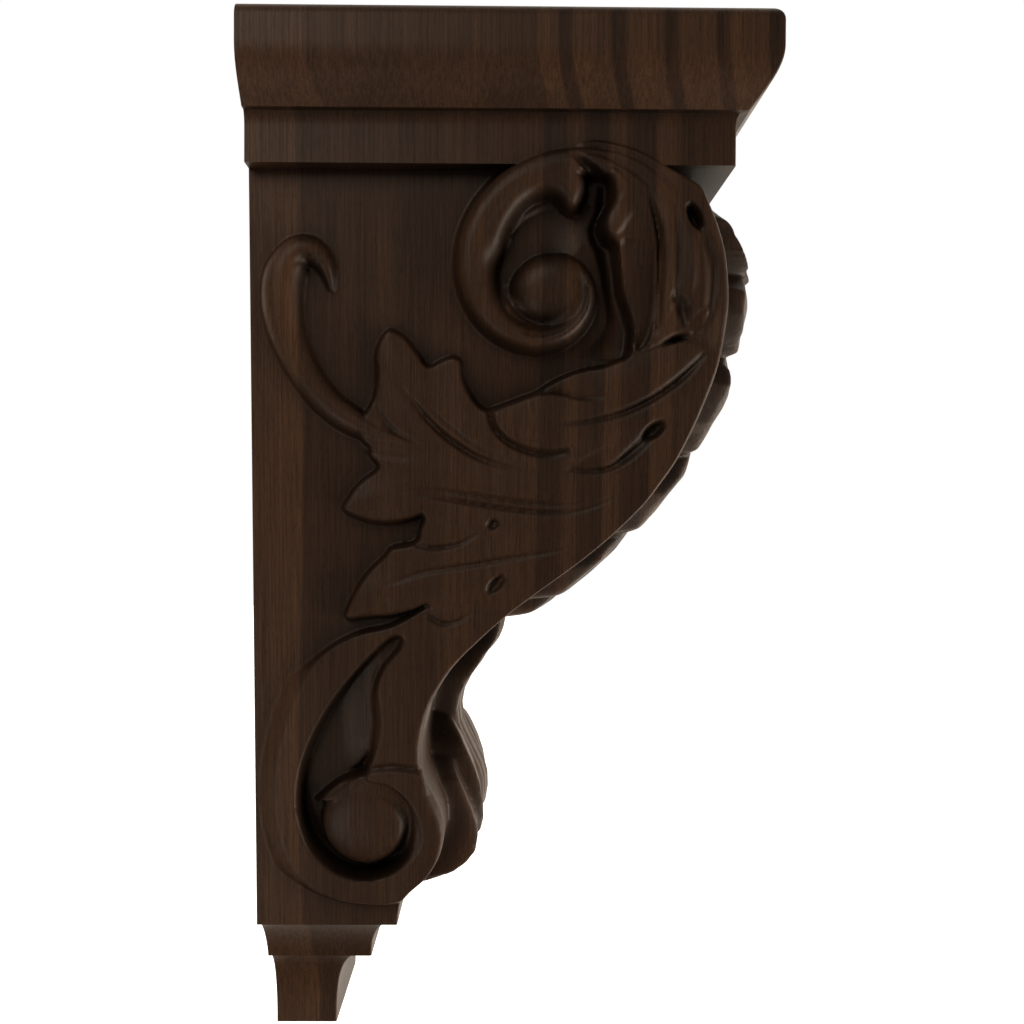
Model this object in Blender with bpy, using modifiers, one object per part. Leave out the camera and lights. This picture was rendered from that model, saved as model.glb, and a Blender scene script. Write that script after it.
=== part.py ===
"""Carved wooden corbel bracket, cut from one block.

The wall is the plane Y = 0 and the bracket reaches out towards -Y. Z is up and X is the width.
The origin is the centre of the flat back. The block is a loft of rectangles down its mouldings.
The right half is carved, and a mirror across X = 0 makes the left half.

The side carving is drawn on a grid: 100 units from the wall to the furthest point of the carved
body, and 162 units from the plain band down to the foot. Most tables below are in these units, so
the carving follows the reach and the height of the body.
"""

import math

import bmesh
import bpy
from mathutils import Matrix, Vector

# Crown moulding and the plain band below it
CROWN_HEIGHT = 0.0302
CROWN_OVERHANG = 0.0126
CROWN_TOP_ROUND = 0.0050
CROWN_FACE_HEIGHT = 0.0128
LIP_OVERHANG = 0.0036
LIP_COVE_REACH = 0.0012
LIP_COVE_HEIGHT = 0.0048
BAND_HEIGHT = 0.0167
BAND_OVERHANG = 0.0013
BAND_SIDE_OVERHANG = 0.0059

# Carved body: its reach, and the taper of its sides
BODY_HEIGHT = 0.2580
BODY_REACH = 0.1593
BODY_TOP_HALF_WIDTH = 0.0691
BODY_FOOT_HALF_WIDTH = 0.0565

# Stepped foot: each step is a cove under a small ledge
FOOT_LEDGE = 0.0016
LEDGE_FALL = 0.0002
UPPER_STEP_HEIGHT = 0.0186
UPPER_STEP_REACH = 0.0376
UPPER_STEP_HALF_WIDTH = 0.0407
LOWER_STEP_HEIGHT = 0.0321
LOWER_STEP_TOP_REACH = 0.0321
LOWER_STEP_TOP_HALF_WIDTH = 0.0352
LOWER_STEP_REACH = 0.0225
LOWER_STEP_HALF_WIDTH = 0.0241

# Relief of the side carving above the flat side
HEAD_RISE = 0.0042
VOLUTE_RISE = 0.0082
CURL_RISE = 0.0078
BOSS_RISE = 0.0062
LEAF_RISE = 0.0034
RIB_RISE = 0.0064
TENDRIL_RISE = 0.0052
SCROLL_RISE = 0.0040
STRAND_RISE = 0.0046
DISC_RISE = 0.0044
RELIEF_SINK = 0.0007

# Depth of the cuts below the flat side
HEAD_HOLLOW_DEPTH = 0.0015
SCROLL_HOLLOW_DEPTH = 0.0060
SLOT_DEPTH = 0.0050
EYE_DEPTH = 0.0042

# Front leaf, measured from the front curve
FRONT_LEAF_RISE = 0.0134
LEAF_ROOT_SINK = 0.0060

# Walnut stain
WALNUT_COLOUR = (0.036, 0.022, 0.015, 1.0)
WALNUT_ROUGHNESS = 0.42

GRID_OUT = 100.0
GRID_DOWN = 162.0
OUT_UNIT = BODY_REACH / GRID_OUT
DOWN_UNIT = BODY_HEIGHT / GRID_DOWN

BODY_DROP = CROWN_HEIGHT + BAND_HEIGHT
FOOT_DROP = BODY_DROP + BODY_HEIGHT
STEP_DROP = FOOT_DROP + UPPER_STEP_HEIGHT
HEIGHT = STEP_DROP + LOWER_STEP_HEIGHT
TOP_Z = HEIGHT / 2
BODY_Z = TOP_Z - BODY_DROP

BAND_REACH = BODY_REACH + BAND_OVERHANG
BAND_HALF_WIDTH = BODY_TOP_HALF_WIDTH + BAND_SIDE_OVERHANG
SPAN_STEPS = 3

# Front edge of the carved body as (out, down) grid points, from the band to the foot
FRONT_EDGE = [
    (88.6, 0.0), (92.7, 2.6), (97.6, 12.4), (100.0, 26.0), (98.1, 40.9), (93.1, 53.9),
    (86.3, 65.5), (71.2, 80.8), (60.3, 88.7), (47.3, 99.9), (39.8, 109.2), (36.1, 121.0),
    (36.9, 130.0), (40.8, 138.0), (39.6, 147.0), (32.8, 154.6), (31.0, 158.0), (30.6, 162.0),
]

# Upper volute: a logarithmic spiral round the boss, as (out, down) and grid units
BOSS_CENTRE = (63.0, 24.4)
BOSS_RADIUS = 8.0
HOLLOW_RADIUS = 9.6
SPIRAL_RADIUS = 41.6
SPIRAL_RATE = 0.241
BAND_SHARE = 0.45

# Share of its half width that a front segment has along its length, from its root to its tips
LOBE_FLARE = [(0.0, 0.84), (0.5, 0.98), (0.75, 1.0), (1.0, 0.93)]

# Lower scroll
DISC_CENTRE = (23.7, 138.5)
DISC_RADIUS = 9.2

SIDE_PLANE = Matrix(((0, 0, 1, 0), (1, 0, 0, 0), (0, 1, 0, 0), (0, 0, 0, 1)))


def smooth(points, steps=SPAN_STEPS):
    """Catmull-Rom curve through points of any length, with steps pieces to each span."""
    ends = [points[0]] + list(points) + [points[-1]]
    result = []
    for before, start, end, after in zip(ends, ends[1:], ends[2:], ends[3:]):
        for step in range(steps):
            t = step / steps
            result.append(tuple(
                0.5 * (2 * b + (c - a) * t + (2 * a - 5 * b + 4 * c - d) * t ** 2
                       + (3 * b - a - 3 * c + d) * t ** 3)
                for a, b, c, d in zip(before, start, end, after)))
    result.append(tuple(points[-1]))
    return result


def interpolate(rows, position):
    """Value at a position in rows of (position, value), which run upwards."""
    for (low, low_value), (high, high_value) in zip(rows, rows[1:]):
        if position <= high:
            share = (position - low) / (high - low)
            return low_value + (high_value - low_value) * share
    return rows[-1][1]


def grid_to_side(point):
    """World (y, z) of an (out, down) grid point."""
    return (-point[0] * OUT_UNIT, BODY_Z - point[1] * DOWN_UNIT)


def side_face(z):
    """Half width of the tapering flat side at a height."""
    share = (BODY_Z - z) / BODY_HEIGHT
    return BODY_TOP_HALF_WIDTH + (BODY_FOOT_HALF_WIDTH - BODY_TOP_HALF_WIDTH) * share


def spiral(start_degrees, end_degrees, scale=1.0, step_degrees=15.0):
    """Grid points of the volute's outer line, or of a scaled copy inside it."""
    count = max(1, round(abs(end_degrees - start_degrees) / step_degrees))
    points = []
    for index in range(count + 1):
        angle = math.radians(start_degrees + (end_degrees - start_degrees) * index / count)
        radius = scale * SPIRAL_RADIUS * math.exp(-SPIRAL_RATE * angle)
        points.append((BOSS_CENTRE[0] + radius * math.cos(angle),
                       BOSS_CENTRE[1] - radius * math.sin(angle)))
    return points


def cove(start, end, steps=5):
    """Concave quarter curve that leaves start level and arrives at end upright."""
    points = []
    for index in range(steps + 1):
        angle = math.pi / 2 * index / steps
        points.append((start[0] + (end[0] - start[0]) * math.sin(angle),
                       start[1] + (end[1] - start[1]) * (1 - math.cos(angle))))
    return points


def crown_profile():
    """(offset from the band's face, drop from the top) down the crown moulding."""
    points = []
    for index in range(5):
        angle = math.pi / 2 * (1 - index / 4)
        points.append((CROWN_OVERHANG - CROWN_TOP_ROUND * (1 - math.cos(angle)),
                       CROWN_TOP_ROUND * (1 - math.sin(angle))))
    sweep = CROWN_HEIGHT - CROWN_FACE_HEIGHT
    corners = [(CROWN_OVERHANG, CROWN_FACE_HEIGHT),
               (CROWN_OVERHANG, CROWN_FACE_HEIGHT + 0.42 * sweep),
               (LIP_OVERHANG + 0.45 * (CROWN_OVERHANG - LIP_OVERHANG), CROWN_HEIGHT - 0.3 * sweep),
               (LIP_OVERHANG, CROWN_HEIGHT)]
    for index in range(7):
        t = index / 6
        weights = ((1 - t) ** 3, 3 * t * (1 - t) ** 2, 3 * t ** 2 * (1 - t), t ** 3)
        points.append(tuple(sum(w * corner[axis] for w, corner in zip(weights, corners))
                            for axis in range(2)))
    points.append((LIP_COVE_REACH, CROWN_HEIGHT + LEDGE_FALL))
    points.append((0.3 * LIP_COVE_REACH, CROWN_HEIGHT + 0.4 * LIP_COVE_HEIGHT))
    points.append((0.0, CROWN_HEIGHT + LIP_COVE_HEIGHT))
    return points


def foot_profile(body, upper, lower_top, lower):
    """(distance, drop) down the two coved steps, for the reach or for the half width."""
    return (cove((body - FOOT_LEDGE, FOOT_DROP + LEDGE_FALL), (upper, STEP_DROP))
            + cove((lower_top, STEP_DROP + LEDGE_FALL), (lower, HEIGHT)))


def block_rows():
    """(drop, reach, half width) of the uncarved block, from its top to its foot."""
    rows = [(drop, BAND_REACH + offset, BAND_HALF_WIDTH + offset)
            for offset, drop in crown_profile()]
    rows.append((BODY_DROP, BAND_REACH, BAND_HALF_WIDTH))
    edge = smooth(FRONT_EDGE)
    for index, (out, down) in enumerate(edge):
        drop = BODY_DROP + down * DOWN_UNIT + (LEDGE_FALL if index == 0 else 0.0)
        rows.append((drop, out * OUT_UNIT, side_face(TOP_Z - drop)))
    reaches = foot_profile(edge[-1][0] * OUT_UNIT, UPPER_STEP_REACH, LOWER_STEP_TOP_REACH,
                           LOWER_STEP_REACH)
    widths = foot_profile(BODY_FOOT_HALF_WIDTH, UPPER_STEP_HALF_WIDTH,
                          LOWER_STEP_TOP_HALF_WIDTH, LOWER_STEP_HALF_WIDTH)
    rows += [(drop, reach, width) for (reach, drop), (width, _) in zip(reaches, widths)]
    return rows


def front_point(down, rise):
    """World (y, z) of the front curve at a grid height, lifted along its normal."""
    rows = [(point[1], point[0]) for point in smooth(FRONT_EDGE)]
    reach = 0.5
    out = interpolate(rows, down) * OUT_UNIT
    low = interpolate(rows, max(down - reach, 0.0)) * OUT_UNIT
    high = interpolate(rows, min(down + reach, GRID_DOWN)) * OUT_UNIT
    along = Vector((high - low, 2 * reach * DOWN_UNIT)).normalized()
    return (-(out + along.y * rise), BODY_Z - down * DOWN_UNIT + along.x * rise)


def new_collection(name):
    """Collection linked to the scene."""
    collection = bpy.data.collections.new(name)
    bpy.context.scene.collection.children.link(collection)
    return collection


def make_helper(thing, collection):
    """Mark an object as a shaping solid that isn't itself part of the model."""
    thing.hide_render = True
    thing.display_type = "WIRE"
    collection.objects.link(thing)
    return thing


def curve_to_solid(name, curve, matrix, collection):
    """Closed mesh object from a filled or bevelled curve."""
    holder = bpy.data.objects.new(name + "_curve", curve)
    bpy.context.scene.collection.objects.link(holder)
    holder.matrix_world = matrix
    bpy.context.view_layer.update()
    depsgraph = bpy.context.evaluated_depsgraph_get()
    mesh = bpy.data.meshes.new_from_object(holder.evaluated_get(depsgraph))
    mesh.name = name
    solid = bpy.data.objects.new(name, mesh)
    solid.matrix_world = holder.matrix_world
    bpy.data.objects.remove(holder)
    bpy.data.curves.remove(curve)
    shape = bmesh.new()
    shape.from_mesh(mesh)
    bmesh.ops.remove_doubles(shape, verts=shape.verts, dist=0.00002)
    bmesh.ops.recalc_face_normals(shape, faces=shape.faces)
    shape.to_mesh(mesh)
    shape.free()
    return make_helper(solid, collection)


def plate(name, points, low, high, matrix, collection):
    """Flat outline thickened from low to high along the plane's own axis."""
    curve = bpy.data.curves.new(name, "CURVE")
    curve.dimensions = "2D"
    curve.fill_mode = "BOTH"
    curve.extrude = (high - low) / 2
    line = curve.splines.new("POLY")
    line.points.add(len(points) - 1)
    for target, point in zip(line.points, points):
        target.co = (point[0], point[1], 0.0, 1.0)
    line.use_cyclic_u = True
    middle = Matrix.Translation((0, 0, (low + high) / 2))
    return curve_to_solid(name, curve, matrix @ middle, collection)


def lean_on_side(solid):
    """Shift a solid drawn on the plane X = 0 out to the tapering flat side."""
    mesh = solid.data
    mesh.transform(solid.matrix_world)
    solid.matrix_world = Matrix.Identity(4)
    for vertex in mesh.vertices:
        vertex.co.x += side_face(vertex.co.z)
    return solid


def side_plate(name, grid_points, low, high, collection):
    """Flat shape on the side, from a grid outline."""
    points = [grid_to_side(point) for point in grid_points]
    return lean_on_side(plate(name, points, low, high, SIDE_PLANE, collection))


def side_strand(name, rows, rise, collection, steps=2, level=-RELIEF_SINK):
    """Flattened round strand along rows of (out, down, radius) in grid units.

    Its axis lies at a level above the flat side, and its widest place stands up to the rise.
    """
    curve = bpy.data.curves.new(name, "CURVE")
    curve.dimensions = "3D"
    curve.bevel_depth = 1.0
    curve.bevel_resolution = 2
    curve.use_fill_caps = True
    rows = smooth(rows, steps)
    line = curve.splines.new("POLY")
    line.points.add(len(rows) - 1)
    for target, (out, down, radius) in zip(line.points, rows):
        y, z = grid_to_side((out, down))
        target.co = (y, z, 0.0, 1.0)
        target.radius = radius * OUT_UNIT
    widest = max(radius for _, _, radius in rows) * OUT_UNIT
    flatten = Matrix.Diagonal((1.0, 1.0, (rise - level) / widest, 1.0))
    lifted = Matrix.Translation((0.0, 0.0, level))
    return lean_on_side(curve_to_solid(name, curve, SIDE_PLANE @ lifted @ flatten, collection))


def side_dome(name, centre, radii, rise, collection, turn_degrees=0.0, level=-RELIEF_SINK,
              segments=12):
    """Ellipsoid centred at a level above the flat side, up to a rise.

    The radii are along and across its turned axis.
    """
    shape = bmesh.new()
    bmesh.ops.create_uvsphere(shape, u_segments=segments, v_segments=8, radius=1.0)
    size = Matrix.Diagonal((radii[0] * OUT_UNIT, radii[1] * DOWN_UNIT, rise - level, 1.0))
    turn = Matrix.Rotation(math.radians(turn_degrees), 4, "Z")
    y, z = grid_to_side(centre)
    bmesh.ops.transform(shape, matrix=SIDE_PLANE @ turn @ size, verts=shape.verts)
    bmesh.ops.translate(shape, vec=(level, y, z), verts=shape.verts)
    mesh = bpy.data.meshes.new(name)
    shape.to_mesh(mesh)
    shape.free()
    return lean_on_side(make_helper(bpy.data.objects.new(name, mesh), collection))


def eye(name, centre, radii, turn_degrees, collection):
    """Drilled eye between two folds of a leaf, cut down from the top of the ribs."""
    level = RIB_RISE + RELIEF_SINK
    return side_dome(name, centre, radii, level + EYE_DEPTH, collection, turn_degrees,
                     level=level, segments=8)


def loft(name, sections, collection):
    """Closed solid through sections of equally many points, with both ends capped."""
    shape = bmesh.new()
    rings = [[shape.verts.new(point) for point in section] for section in sections]
    for ring, following in zip(rings, rings[1:]):
        for index in range(len(ring)):
            after = (index + 1) % len(ring)
            shape.faces.new((ring[index], ring[after], following[after], following[index]))
    shape.faces.new(rings[0])
    shape.faces.new(reversed(rings[-1]))
    bmesh.ops.recalc_face_normals(shape, faces=shape.faces)
    mesh = bpy.data.meshes.new(name)
    shape.to_mesh(mesh)
    shape.free()
    return make_helper(bpy.data.objects.new(name, mesh), collection)


def rim_inset(low, high, margin):
    """Grid points just inside the front edge, upwards from one height to another."""
    return [(out - margin, down) for out, down in reversed(smooth(FRONT_EDGE, 2))
            if low <= down <= high]


def make_block(collection):
    """Uncarved block: rectangular sections that follow the mouldings, the taper and the foot."""
    sections = []
    for drop, reach, width in block_rows():
        z = TOP_Z - drop
        sections.append([(-width, 0.0, z), (width, 0.0, z), (width, -reach, z),
                         (-width, -reach, z)])
    block = loft("corbel", sections, collection)
    block.hide_render = False
    block.display_type = "TEXTURED"
    return block


def carve_head(raised, hollows):
    """Raised disc of the upper volute, its rolled band, boss, curls and leaf folds."""
    inner = 1 - BAND_SHARE
    edge = spiral(60, 285) + [(79.0, 40.0)] + rim_inset(3.0, 42.0, 1.2)
    side_plate("head_disc", edge, -HEAD_RISE, HEAD_RISE, raised)
    band = [(x, y, BAND_SHARE / 2 * math.hypot(x - BOSS_CENTRE[0], y - BOSS_CENTRE[1]) /
             (1 - BAND_SHARE / 2)) for x, y in spiral(62, 395, 1 - BAND_SHARE / 2, 20.0)]
    side_strand("volute_band", band, VOLUTE_RISE, raised, steps=1)
    ring = [(BOSS_CENTRE[0] + HOLLOW_RADIUS * math.cos(math.radians(turn)),
             BOSS_CENTRE[1] - HOLLOW_RADIUS * math.sin(math.radians(turn)))
            for turn in range(275, 426, 25)]
    side_plate("head_hollow", spiral(75, 255, inner) + ring, -HEAD_HOLLOW_DEPTH,
               2 * VOLUTE_RISE, hollows["head"])
    side_dome("volute_boss", BOSS_CENTRE, (BOSS_RADIUS, BOSS_RADIUS), BOSS_RISE,
              hollows["fill"])
    curl = [(62.0, -1.8, 2.4), (67.0, 1.0, 3.0), (68.6, 6.0, 2.6), (66.6, 10.4, 1.2)]
    side_strand("hanging_curl", curl, CURL_RISE, hollows["fill"])
    tip = [(80.5, 6.0, 2.0), (77.5, 10.5, 2.2), (74.0, 14.0, 1.4)]
    side_strand("small_curl", tip, CURL_RISE, hollows["fill"])
    panel = [(79.8, 6.5, 1.6), (81.2, 14.0, 3.0), (81.6, 24.0, 3.2), (81.2, 34.0, 1.4)]
    side_strand("inner_fold", panel, RIB_RISE, hollows["fill"])
    outer = [(85.0, 3.5, 2.0), (90.2, 12.0, 3.4), (91.0, 24.0, 3.6), (88.4, 35.0, 2.0)]
    side_strand("outer_fold", outer, RIB_RISE, hollows["fill"])
    slot = [(71.0, 2.2, 0.8), (73.6, 6.0, 1.6), (72.8, 12.6, 1.6), (75.4, 19.0, 2.2),
            (76.6, 29.0, 2.4), (78.0, 36.5, 1.0)]
    level = HEAD_RISE + RELIEF_SINK
    side_strand("s_slot", slot, level + SLOT_DEPTH, hollows["pits"], level=level)
    eye("head_eye", (91.5, 10.6), (2.6, 1.2), 62.0, hollows["pits"])


def carve_leaf(raised, pits):
    """Side acanthus leaf: a low plate with five lobes, rounded ribs and three eyes."""
    edge = [(79.4, 38.7), (69.2, 41.5), (59.7, 46.5), (50.3, 49.9), (46.3, 46.5), (44.4, 39.8),
            (41.6, 38.8), (37.2, 40.8), (33.3, 35.7), (29.1, 33.3), (26.4, 38.6), (25.7, 47.0),
            (23.4, 52.0), (25.0, 58.1), (26.9, 62.4), (20.6, 68.3), (19.7, 71.2), (28.8, 74.0),
            (36.2, 72.7), (34.9, 77.4), (28.2, 80.7), (21.3, 89.5), (19.8, 94.2), (29.8, 93.8),
            (37.1, 91.7), (40.1, 94.9), (46.8, 93.0)]
    side_plate("leaf_plate", edge + rim_inset(36.0, 93.0, 1.2), -LEAF_RISE, LEAF_RISE, raised)
    ribs = {
        "rib_a": [(29.4, 35.4, 2.0), (33.0, 42.4, 4.6), (41.0, 50.6, 4.0), (56.0, 59.0, 1.8)],
        "rib_b": [(43.4, 40.2, 1.4), (46.0, 47.0, 3.0), (53.0, 54.5, 2.4)],
        "rib_c": [(51.4, 51.6, 1.2), (60.0, 52.4, 4.6), (72.0, 46.8, 4.8), (84.0, 42.6, 3.4),
                  (93.0, 34.0, 1.6)],
        "rib_low": [(27.5, 46.0, 1.8), (31.0, 53.4, 3.2), (42.0, 62.6, 3.4), (58.0, 66.4, 2.8),
                    (74.0, 64.4, 2.6), (88.0, 55.0, 3.0), (95.0, 44.0, 1.6)],
        "rib_d": [(21.2, 71.0, 1.6), (29.0, 69.2, 4.2), (44.0, 72.6, 3.2), (60.0, 75.2, 3.0),
                  (74.0, 71.6, 3.0), (86.0, 61.4, 2.0)],
        "rib_e": [(29.5, 81.6, 1.4), (42.0, 80.6, 2.6), (58.0, 78.6, 2.2), (68.0, 76.8, 1.2)],
        "rib_f": [(21.4, 93.0, 1.4), (30.0, 88.6, 4.4), (44.0, 87.4, 4.0), (58.0, 84.6, 3.0),
                  (68.0, 79.8, 1.4)],
    }
    for name, rows in ribs.items():
        side_strand(name, rows, RIB_RISE, raised)
    eye("long_eye", (84.6, 54.4), (3.6, 1.5), 34.0, pits)
    eye("middle_eye", (51.2, 74.0), (2.2, 1.4), 20.0, pits)
    eye("low_eye", (51.9, 86.7), (3.0, 1.4), 44.0, pits)


def carve_tendril(raised):
    """Hooked tendril at the top of the side, by the wall."""
    rows = [(17.0, 23.0, 1.0), (14.8, 18.2, 2.2), (11.0, 16.8, 3.0), (7.8, 20.2, 3.6),
            (6.5, 26.0, 3.8), (7.2, 33.0, 3.5), (10.4, 41.0, 3.2), (15.0, 47.4, 3.0),
            (20.8, 51.6, 2.8), (28.0, 54.4, 1.6)]
    side_strand("tendril", rows, TENDRIL_RISE, raised)


def carve_scroll(raised, hollows):
    """Lower scroll: outer band, comma-shaped hollow, strand of the neck and disc."""
    band = [(31.4, 97.0, 1.2), (25.6, 98.6, 2.2), (18.6, 105.0, 3.2), (12.6, 113.4, 3.2),
            (8.8, 121.4, 2.6), (7.0, 129.0, 2.3), (6.9, 136.0, 2.2), (8.6, 144.0, 2.2),
            (12.8, 150.2, 2.3), (19.0, 153.4, 2.3), (26.0, 153.8, 2.3), (31.4, 152.4, 2.0)]
    side_strand("scroll_band", band, SCROLL_RISE, raised)
    comma = smooth([(32.0, 99.6), (27.0, 100.4), (20.6, 108.0), (13.4, 120.0), (9.6, 130.0),
                    (10.6, 142.0), (16.0, 149.0), (25.0, 151.0), (31.0, 147.6), (32.6, 140.0),
                    (29.0, 133.0), (22.0, 130.0), (25.8, 122.6), (26.6, 113.0), (28.4, 104.6),
                    (32.0, 99.6)], 2)[:-1]
    side_plate("scroll_hollow", comma, -SCROLL_HOLLOW_DEPTH, 2 * SCROLL_RISE, hollows["head"])
    neck = [(45.0, 97.6, 2.2), (36.4, 104.6, 3.8), (31.4, 114.0, 3.8), (30.6, 123.0, 3.6),
            (34.2, 131.0, 3.4), (37.0, 138.4, 2.9), (35.6, 146.0, 2.8), (30.6, 152.0, 2.4)]
    side_strand("neck_strand", neck, STRAND_RISE, hollows["fill"])
    side_plate("disc_core", [(DISC_CENTRE[0] + DISC_RADIUS * math.cos(math.radians(turn)),
                              DISC_CENTRE[1] + DISC_RADIUS * math.sin(math.radians(turn)))
                             for turn in range(0, 360, 24)],
               -SCROLL_HOLLOW_DEPTH - RELIEF_SINK, 0.0, hollows["fill"])
    side_dome("scroll_disc", DISC_CENTRE, (DISC_RADIUS + 1.2, DISC_RADIUS + 1.2), DISC_RISE,
              hollows["fill"])


def shingle(name, start, tip, rises, width_share, tip_lift, collection):
    """One overlapping segment of the front leaf, from a start height down to its tips.

    The rises are shares of the leaf's greatest rise, at the root, the middle and the tips. The
    crossways stations give a hollow beside the midrib and a raised side lobe, whose tip stands
    tip_lift grid units higher than the middle one.
    """
    half_width = width_share * side_face(BODY_Z - tip * DOWN_UNIT)
    stations = [(-0.1, 0.0, 1.0), (0.1, 0.0, 1.0), (0.24, 0.35, 0.80), (0.42, 0.95, 0.86),
                (0.66, 0.55, 1.0), (0.86, 1.0, 0.84), (1.0, 1.7, 0.40)]
    sections = []
    for across, lift, fullness in stations:
        end = tip - tip_lift * lift
        profile = [(0.5 * index, rise * FRONT_LEAF_RISE) for index, rise in enumerate(rises)]
        shares = [step / 3 for step in range(4)]
        points = [front_point(start + (end - start) * share,
                              interpolate(profile, share) * fullness) for share in shares]
        points += [front_point(start + (end - 0.6 - start) * share, -LEAF_ROOT_SINK)
                   for share in reversed(shares)]
        widths = [across * half_width * interpolate(LOBE_FLARE, share) for share in shares]
        sections.append([(x, y, z) for x, (y, z) in zip(widths + widths[::-1], points)])
    return loft(name, sections, collection)


def carve_front(raised):
    """Front leaf: six segments down the S-curve and four round the lower scroll."""
    upper = [
        (0.2, 20.5, (0.78, 0.96, 1.00), 0.86, 3.0),
        (15.0, 36.5, (0.88, 0.84, 0.72), 0.82, 3.0),
        (31.0, 58.5, (0.56, 0.69, 0.55), 0.78, 4.0),
        (52.0, 76.8, (0.34, 0.43, 0.49), 0.73, 4.0),
        (70.0, 92.6, (0.30, 0.46, 0.52), 0.68, 3.4),
        (86.0, 99.0, (0.34, 0.49, 0.37), 0.62, 2.6),
    ]
    lower = [
        (96.0, 106.5, (0.15, 0.56, 0.73), 0.40, 3.0),
        (101.0, 126.0, (0.22, 0.63, 0.97), 0.54, 4.0),
        (110.0, 140.0, (0.22, 0.90, 1.03), 0.65, 5.0),
        (124.0, 152.5, (0.75, 0.97, 0.90), 0.63, 4.0),
    ]
    for index, (start, tip, rises, share, tip_lift) in enumerate(upper + lower):
        shingle(f"front_lobe_{index + 1}", start, tip, rises, share, tip_lift, raised)


def add_boolean(target, name, operation, collection):
    """Join or cut a target with every solid of a collection."""
    step = target.modifiers.new(name, "BOOLEAN")
    step.operation = operation
    step.operand_type = "COLLECTION"
    step.collection = collection
    step.solver = "EXACT"


def stain(thing):
    """Dark walnut stain on the whole piece."""
    material = bpy.data.materials.new("walnut_stain")
    material.use_nodes = True
    shader = material.node_tree.nodes["Principled BSDF"]
    shader.inputs["Base Color"].default_value = WALNUT_COLOUR
    shader.inputs["Roughness"].default_value = WALNUT_ROUGHNESS
    shader.inputs["Metallic"].default_value = 0.0
    material.diffuse_color = WALNUT_COLOUR
    thing.data.materials.append(material)


def main():
    for thing in list(bpy.data.objects):
        bpy.data.objects.remove(thing)
    part = new_collection("carved_corbel")
    raised = new_collection("raised_carving")
    front = new_collection("front_leaf")
    hollows = {"head": new_collection("hollow_cutters"), "fill": new_collection("carving_in_hollows"),
               "pits": new_collection("pit_cutters")}
    block = make_block(part)
    carve_head(raised, hollows)
    carve_leaf(raised, hollows["pits"])
    carve_tendril(raised)
    carve_scroll(raised, hollows)
    carve_front(front)
    add_boolean(block, "raised carving", "UNION", raised)
    add_boolean(block, "hollows", "DIFFERENCE", hollows["head"])
    add_boolean(block, "carving in the hollows", "UNION", hollows["fill"])
    add_boolean(block, "slots and eyes", "DIFFERENCE", hollows["pits"])
    add_boolean(block, "front leaf", "UNION", front)
    mirror = block.modifiers.new("left half", "MIRROR")
    mirror.use_axis = (True, False, False)
    mirror.use_bisect_axis = (True, False, False)
    mirror.merge_threshold = 0.00005
    stain(block)


main()
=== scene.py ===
"""Carved wooden corbel bracket: the finished carving, its stained wood, the light and the camera.

The carving is one skin wrapped round the bracket. Its rows lie at one height each and run from the
back edge over the side and round the rim to the middle of the front, and the other half mirrors
them. The relief of the side and of the front is worked out as a height at each point.

Lengths are in millimetres until the skin is made. "out" is the distance from the wall and "drop"
is the distance down from the top. The side carving is drawn on a grid of 100 units out by 162 units
down from the plain band.
"""

import math

import bmesh
import bpy
import numpy as np
from mathutils import Matrix, Vector


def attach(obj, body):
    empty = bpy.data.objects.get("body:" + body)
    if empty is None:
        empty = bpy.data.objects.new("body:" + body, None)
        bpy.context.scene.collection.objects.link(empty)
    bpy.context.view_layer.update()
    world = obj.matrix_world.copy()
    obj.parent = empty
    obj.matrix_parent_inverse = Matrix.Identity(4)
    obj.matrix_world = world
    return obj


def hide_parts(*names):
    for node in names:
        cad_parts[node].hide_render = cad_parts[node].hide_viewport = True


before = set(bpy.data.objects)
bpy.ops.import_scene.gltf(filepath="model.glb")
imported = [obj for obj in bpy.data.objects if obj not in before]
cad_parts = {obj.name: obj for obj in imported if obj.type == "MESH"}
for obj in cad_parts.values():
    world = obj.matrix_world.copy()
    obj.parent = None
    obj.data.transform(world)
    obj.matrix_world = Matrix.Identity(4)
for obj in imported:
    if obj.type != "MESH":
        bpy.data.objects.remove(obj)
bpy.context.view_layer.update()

STEP = 0.6
TRIANGLES = 196000
MILLIMETRE = 0.001
# Length that the columns from the rim to the middle of the front are spaced over
COLUMNS_SPAN = 60.0
# Edges bent more than this stay sharp
SHARP_ANGLE = math.radians(38.0)

# Block under the carving, as in the solid
HEIGHT = 355.6
CROWN_HEIGHT = 30.2
CROWN_OVERHANG = 12.6
CROWN_TOP_ROUND = 5.0
CROWN_FACE_HEIGHT = 12.8
ROUND_STEPS = 8
CROWN_STEPS = 16
COVE_STEPS = 14
LIP_OVERHANG = 3.6
LIP_COVE_REACH = 1.2
LIP_COVE_HEIGHT = 4.8
BAND_REACH = 160.6
BAND_HALF_WIDTH = 75.0
BODY_DROP = 46.9
FOOT_DROP = 304.9
STEP_DROP = 323.5
BODY_REACH = 159.3
BODY_TOP_HALF_WIDTH = 69.1
BODY_FOOT_HALF_WIDTH = 56.5
LEDGE_FALL = 0.2
FOOT_LEDGE = 0.6
STEP_REACH = 37.6
STEP_HALF_WIDTH = 39.6
FOOT_REACH = 22.5
FOOT_HALF_WIDTH = 24.6
# How round the coves over the step and over the foot's end are, as (reach, half width)
STEP_FULLNESS = (0.95, 0.65)
FOOT_FULLNESS = (1.35, 1.0)
PLAIN_BEVEL = 0.7
BEVEL_ANGLES = (22.0, 45.0, 68.0, 90.0)
UNIT = BODY_REACH / 100.0
DOWN_UNIT = (FOOT_DROP - BODY_DROP) / 162.0

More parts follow.
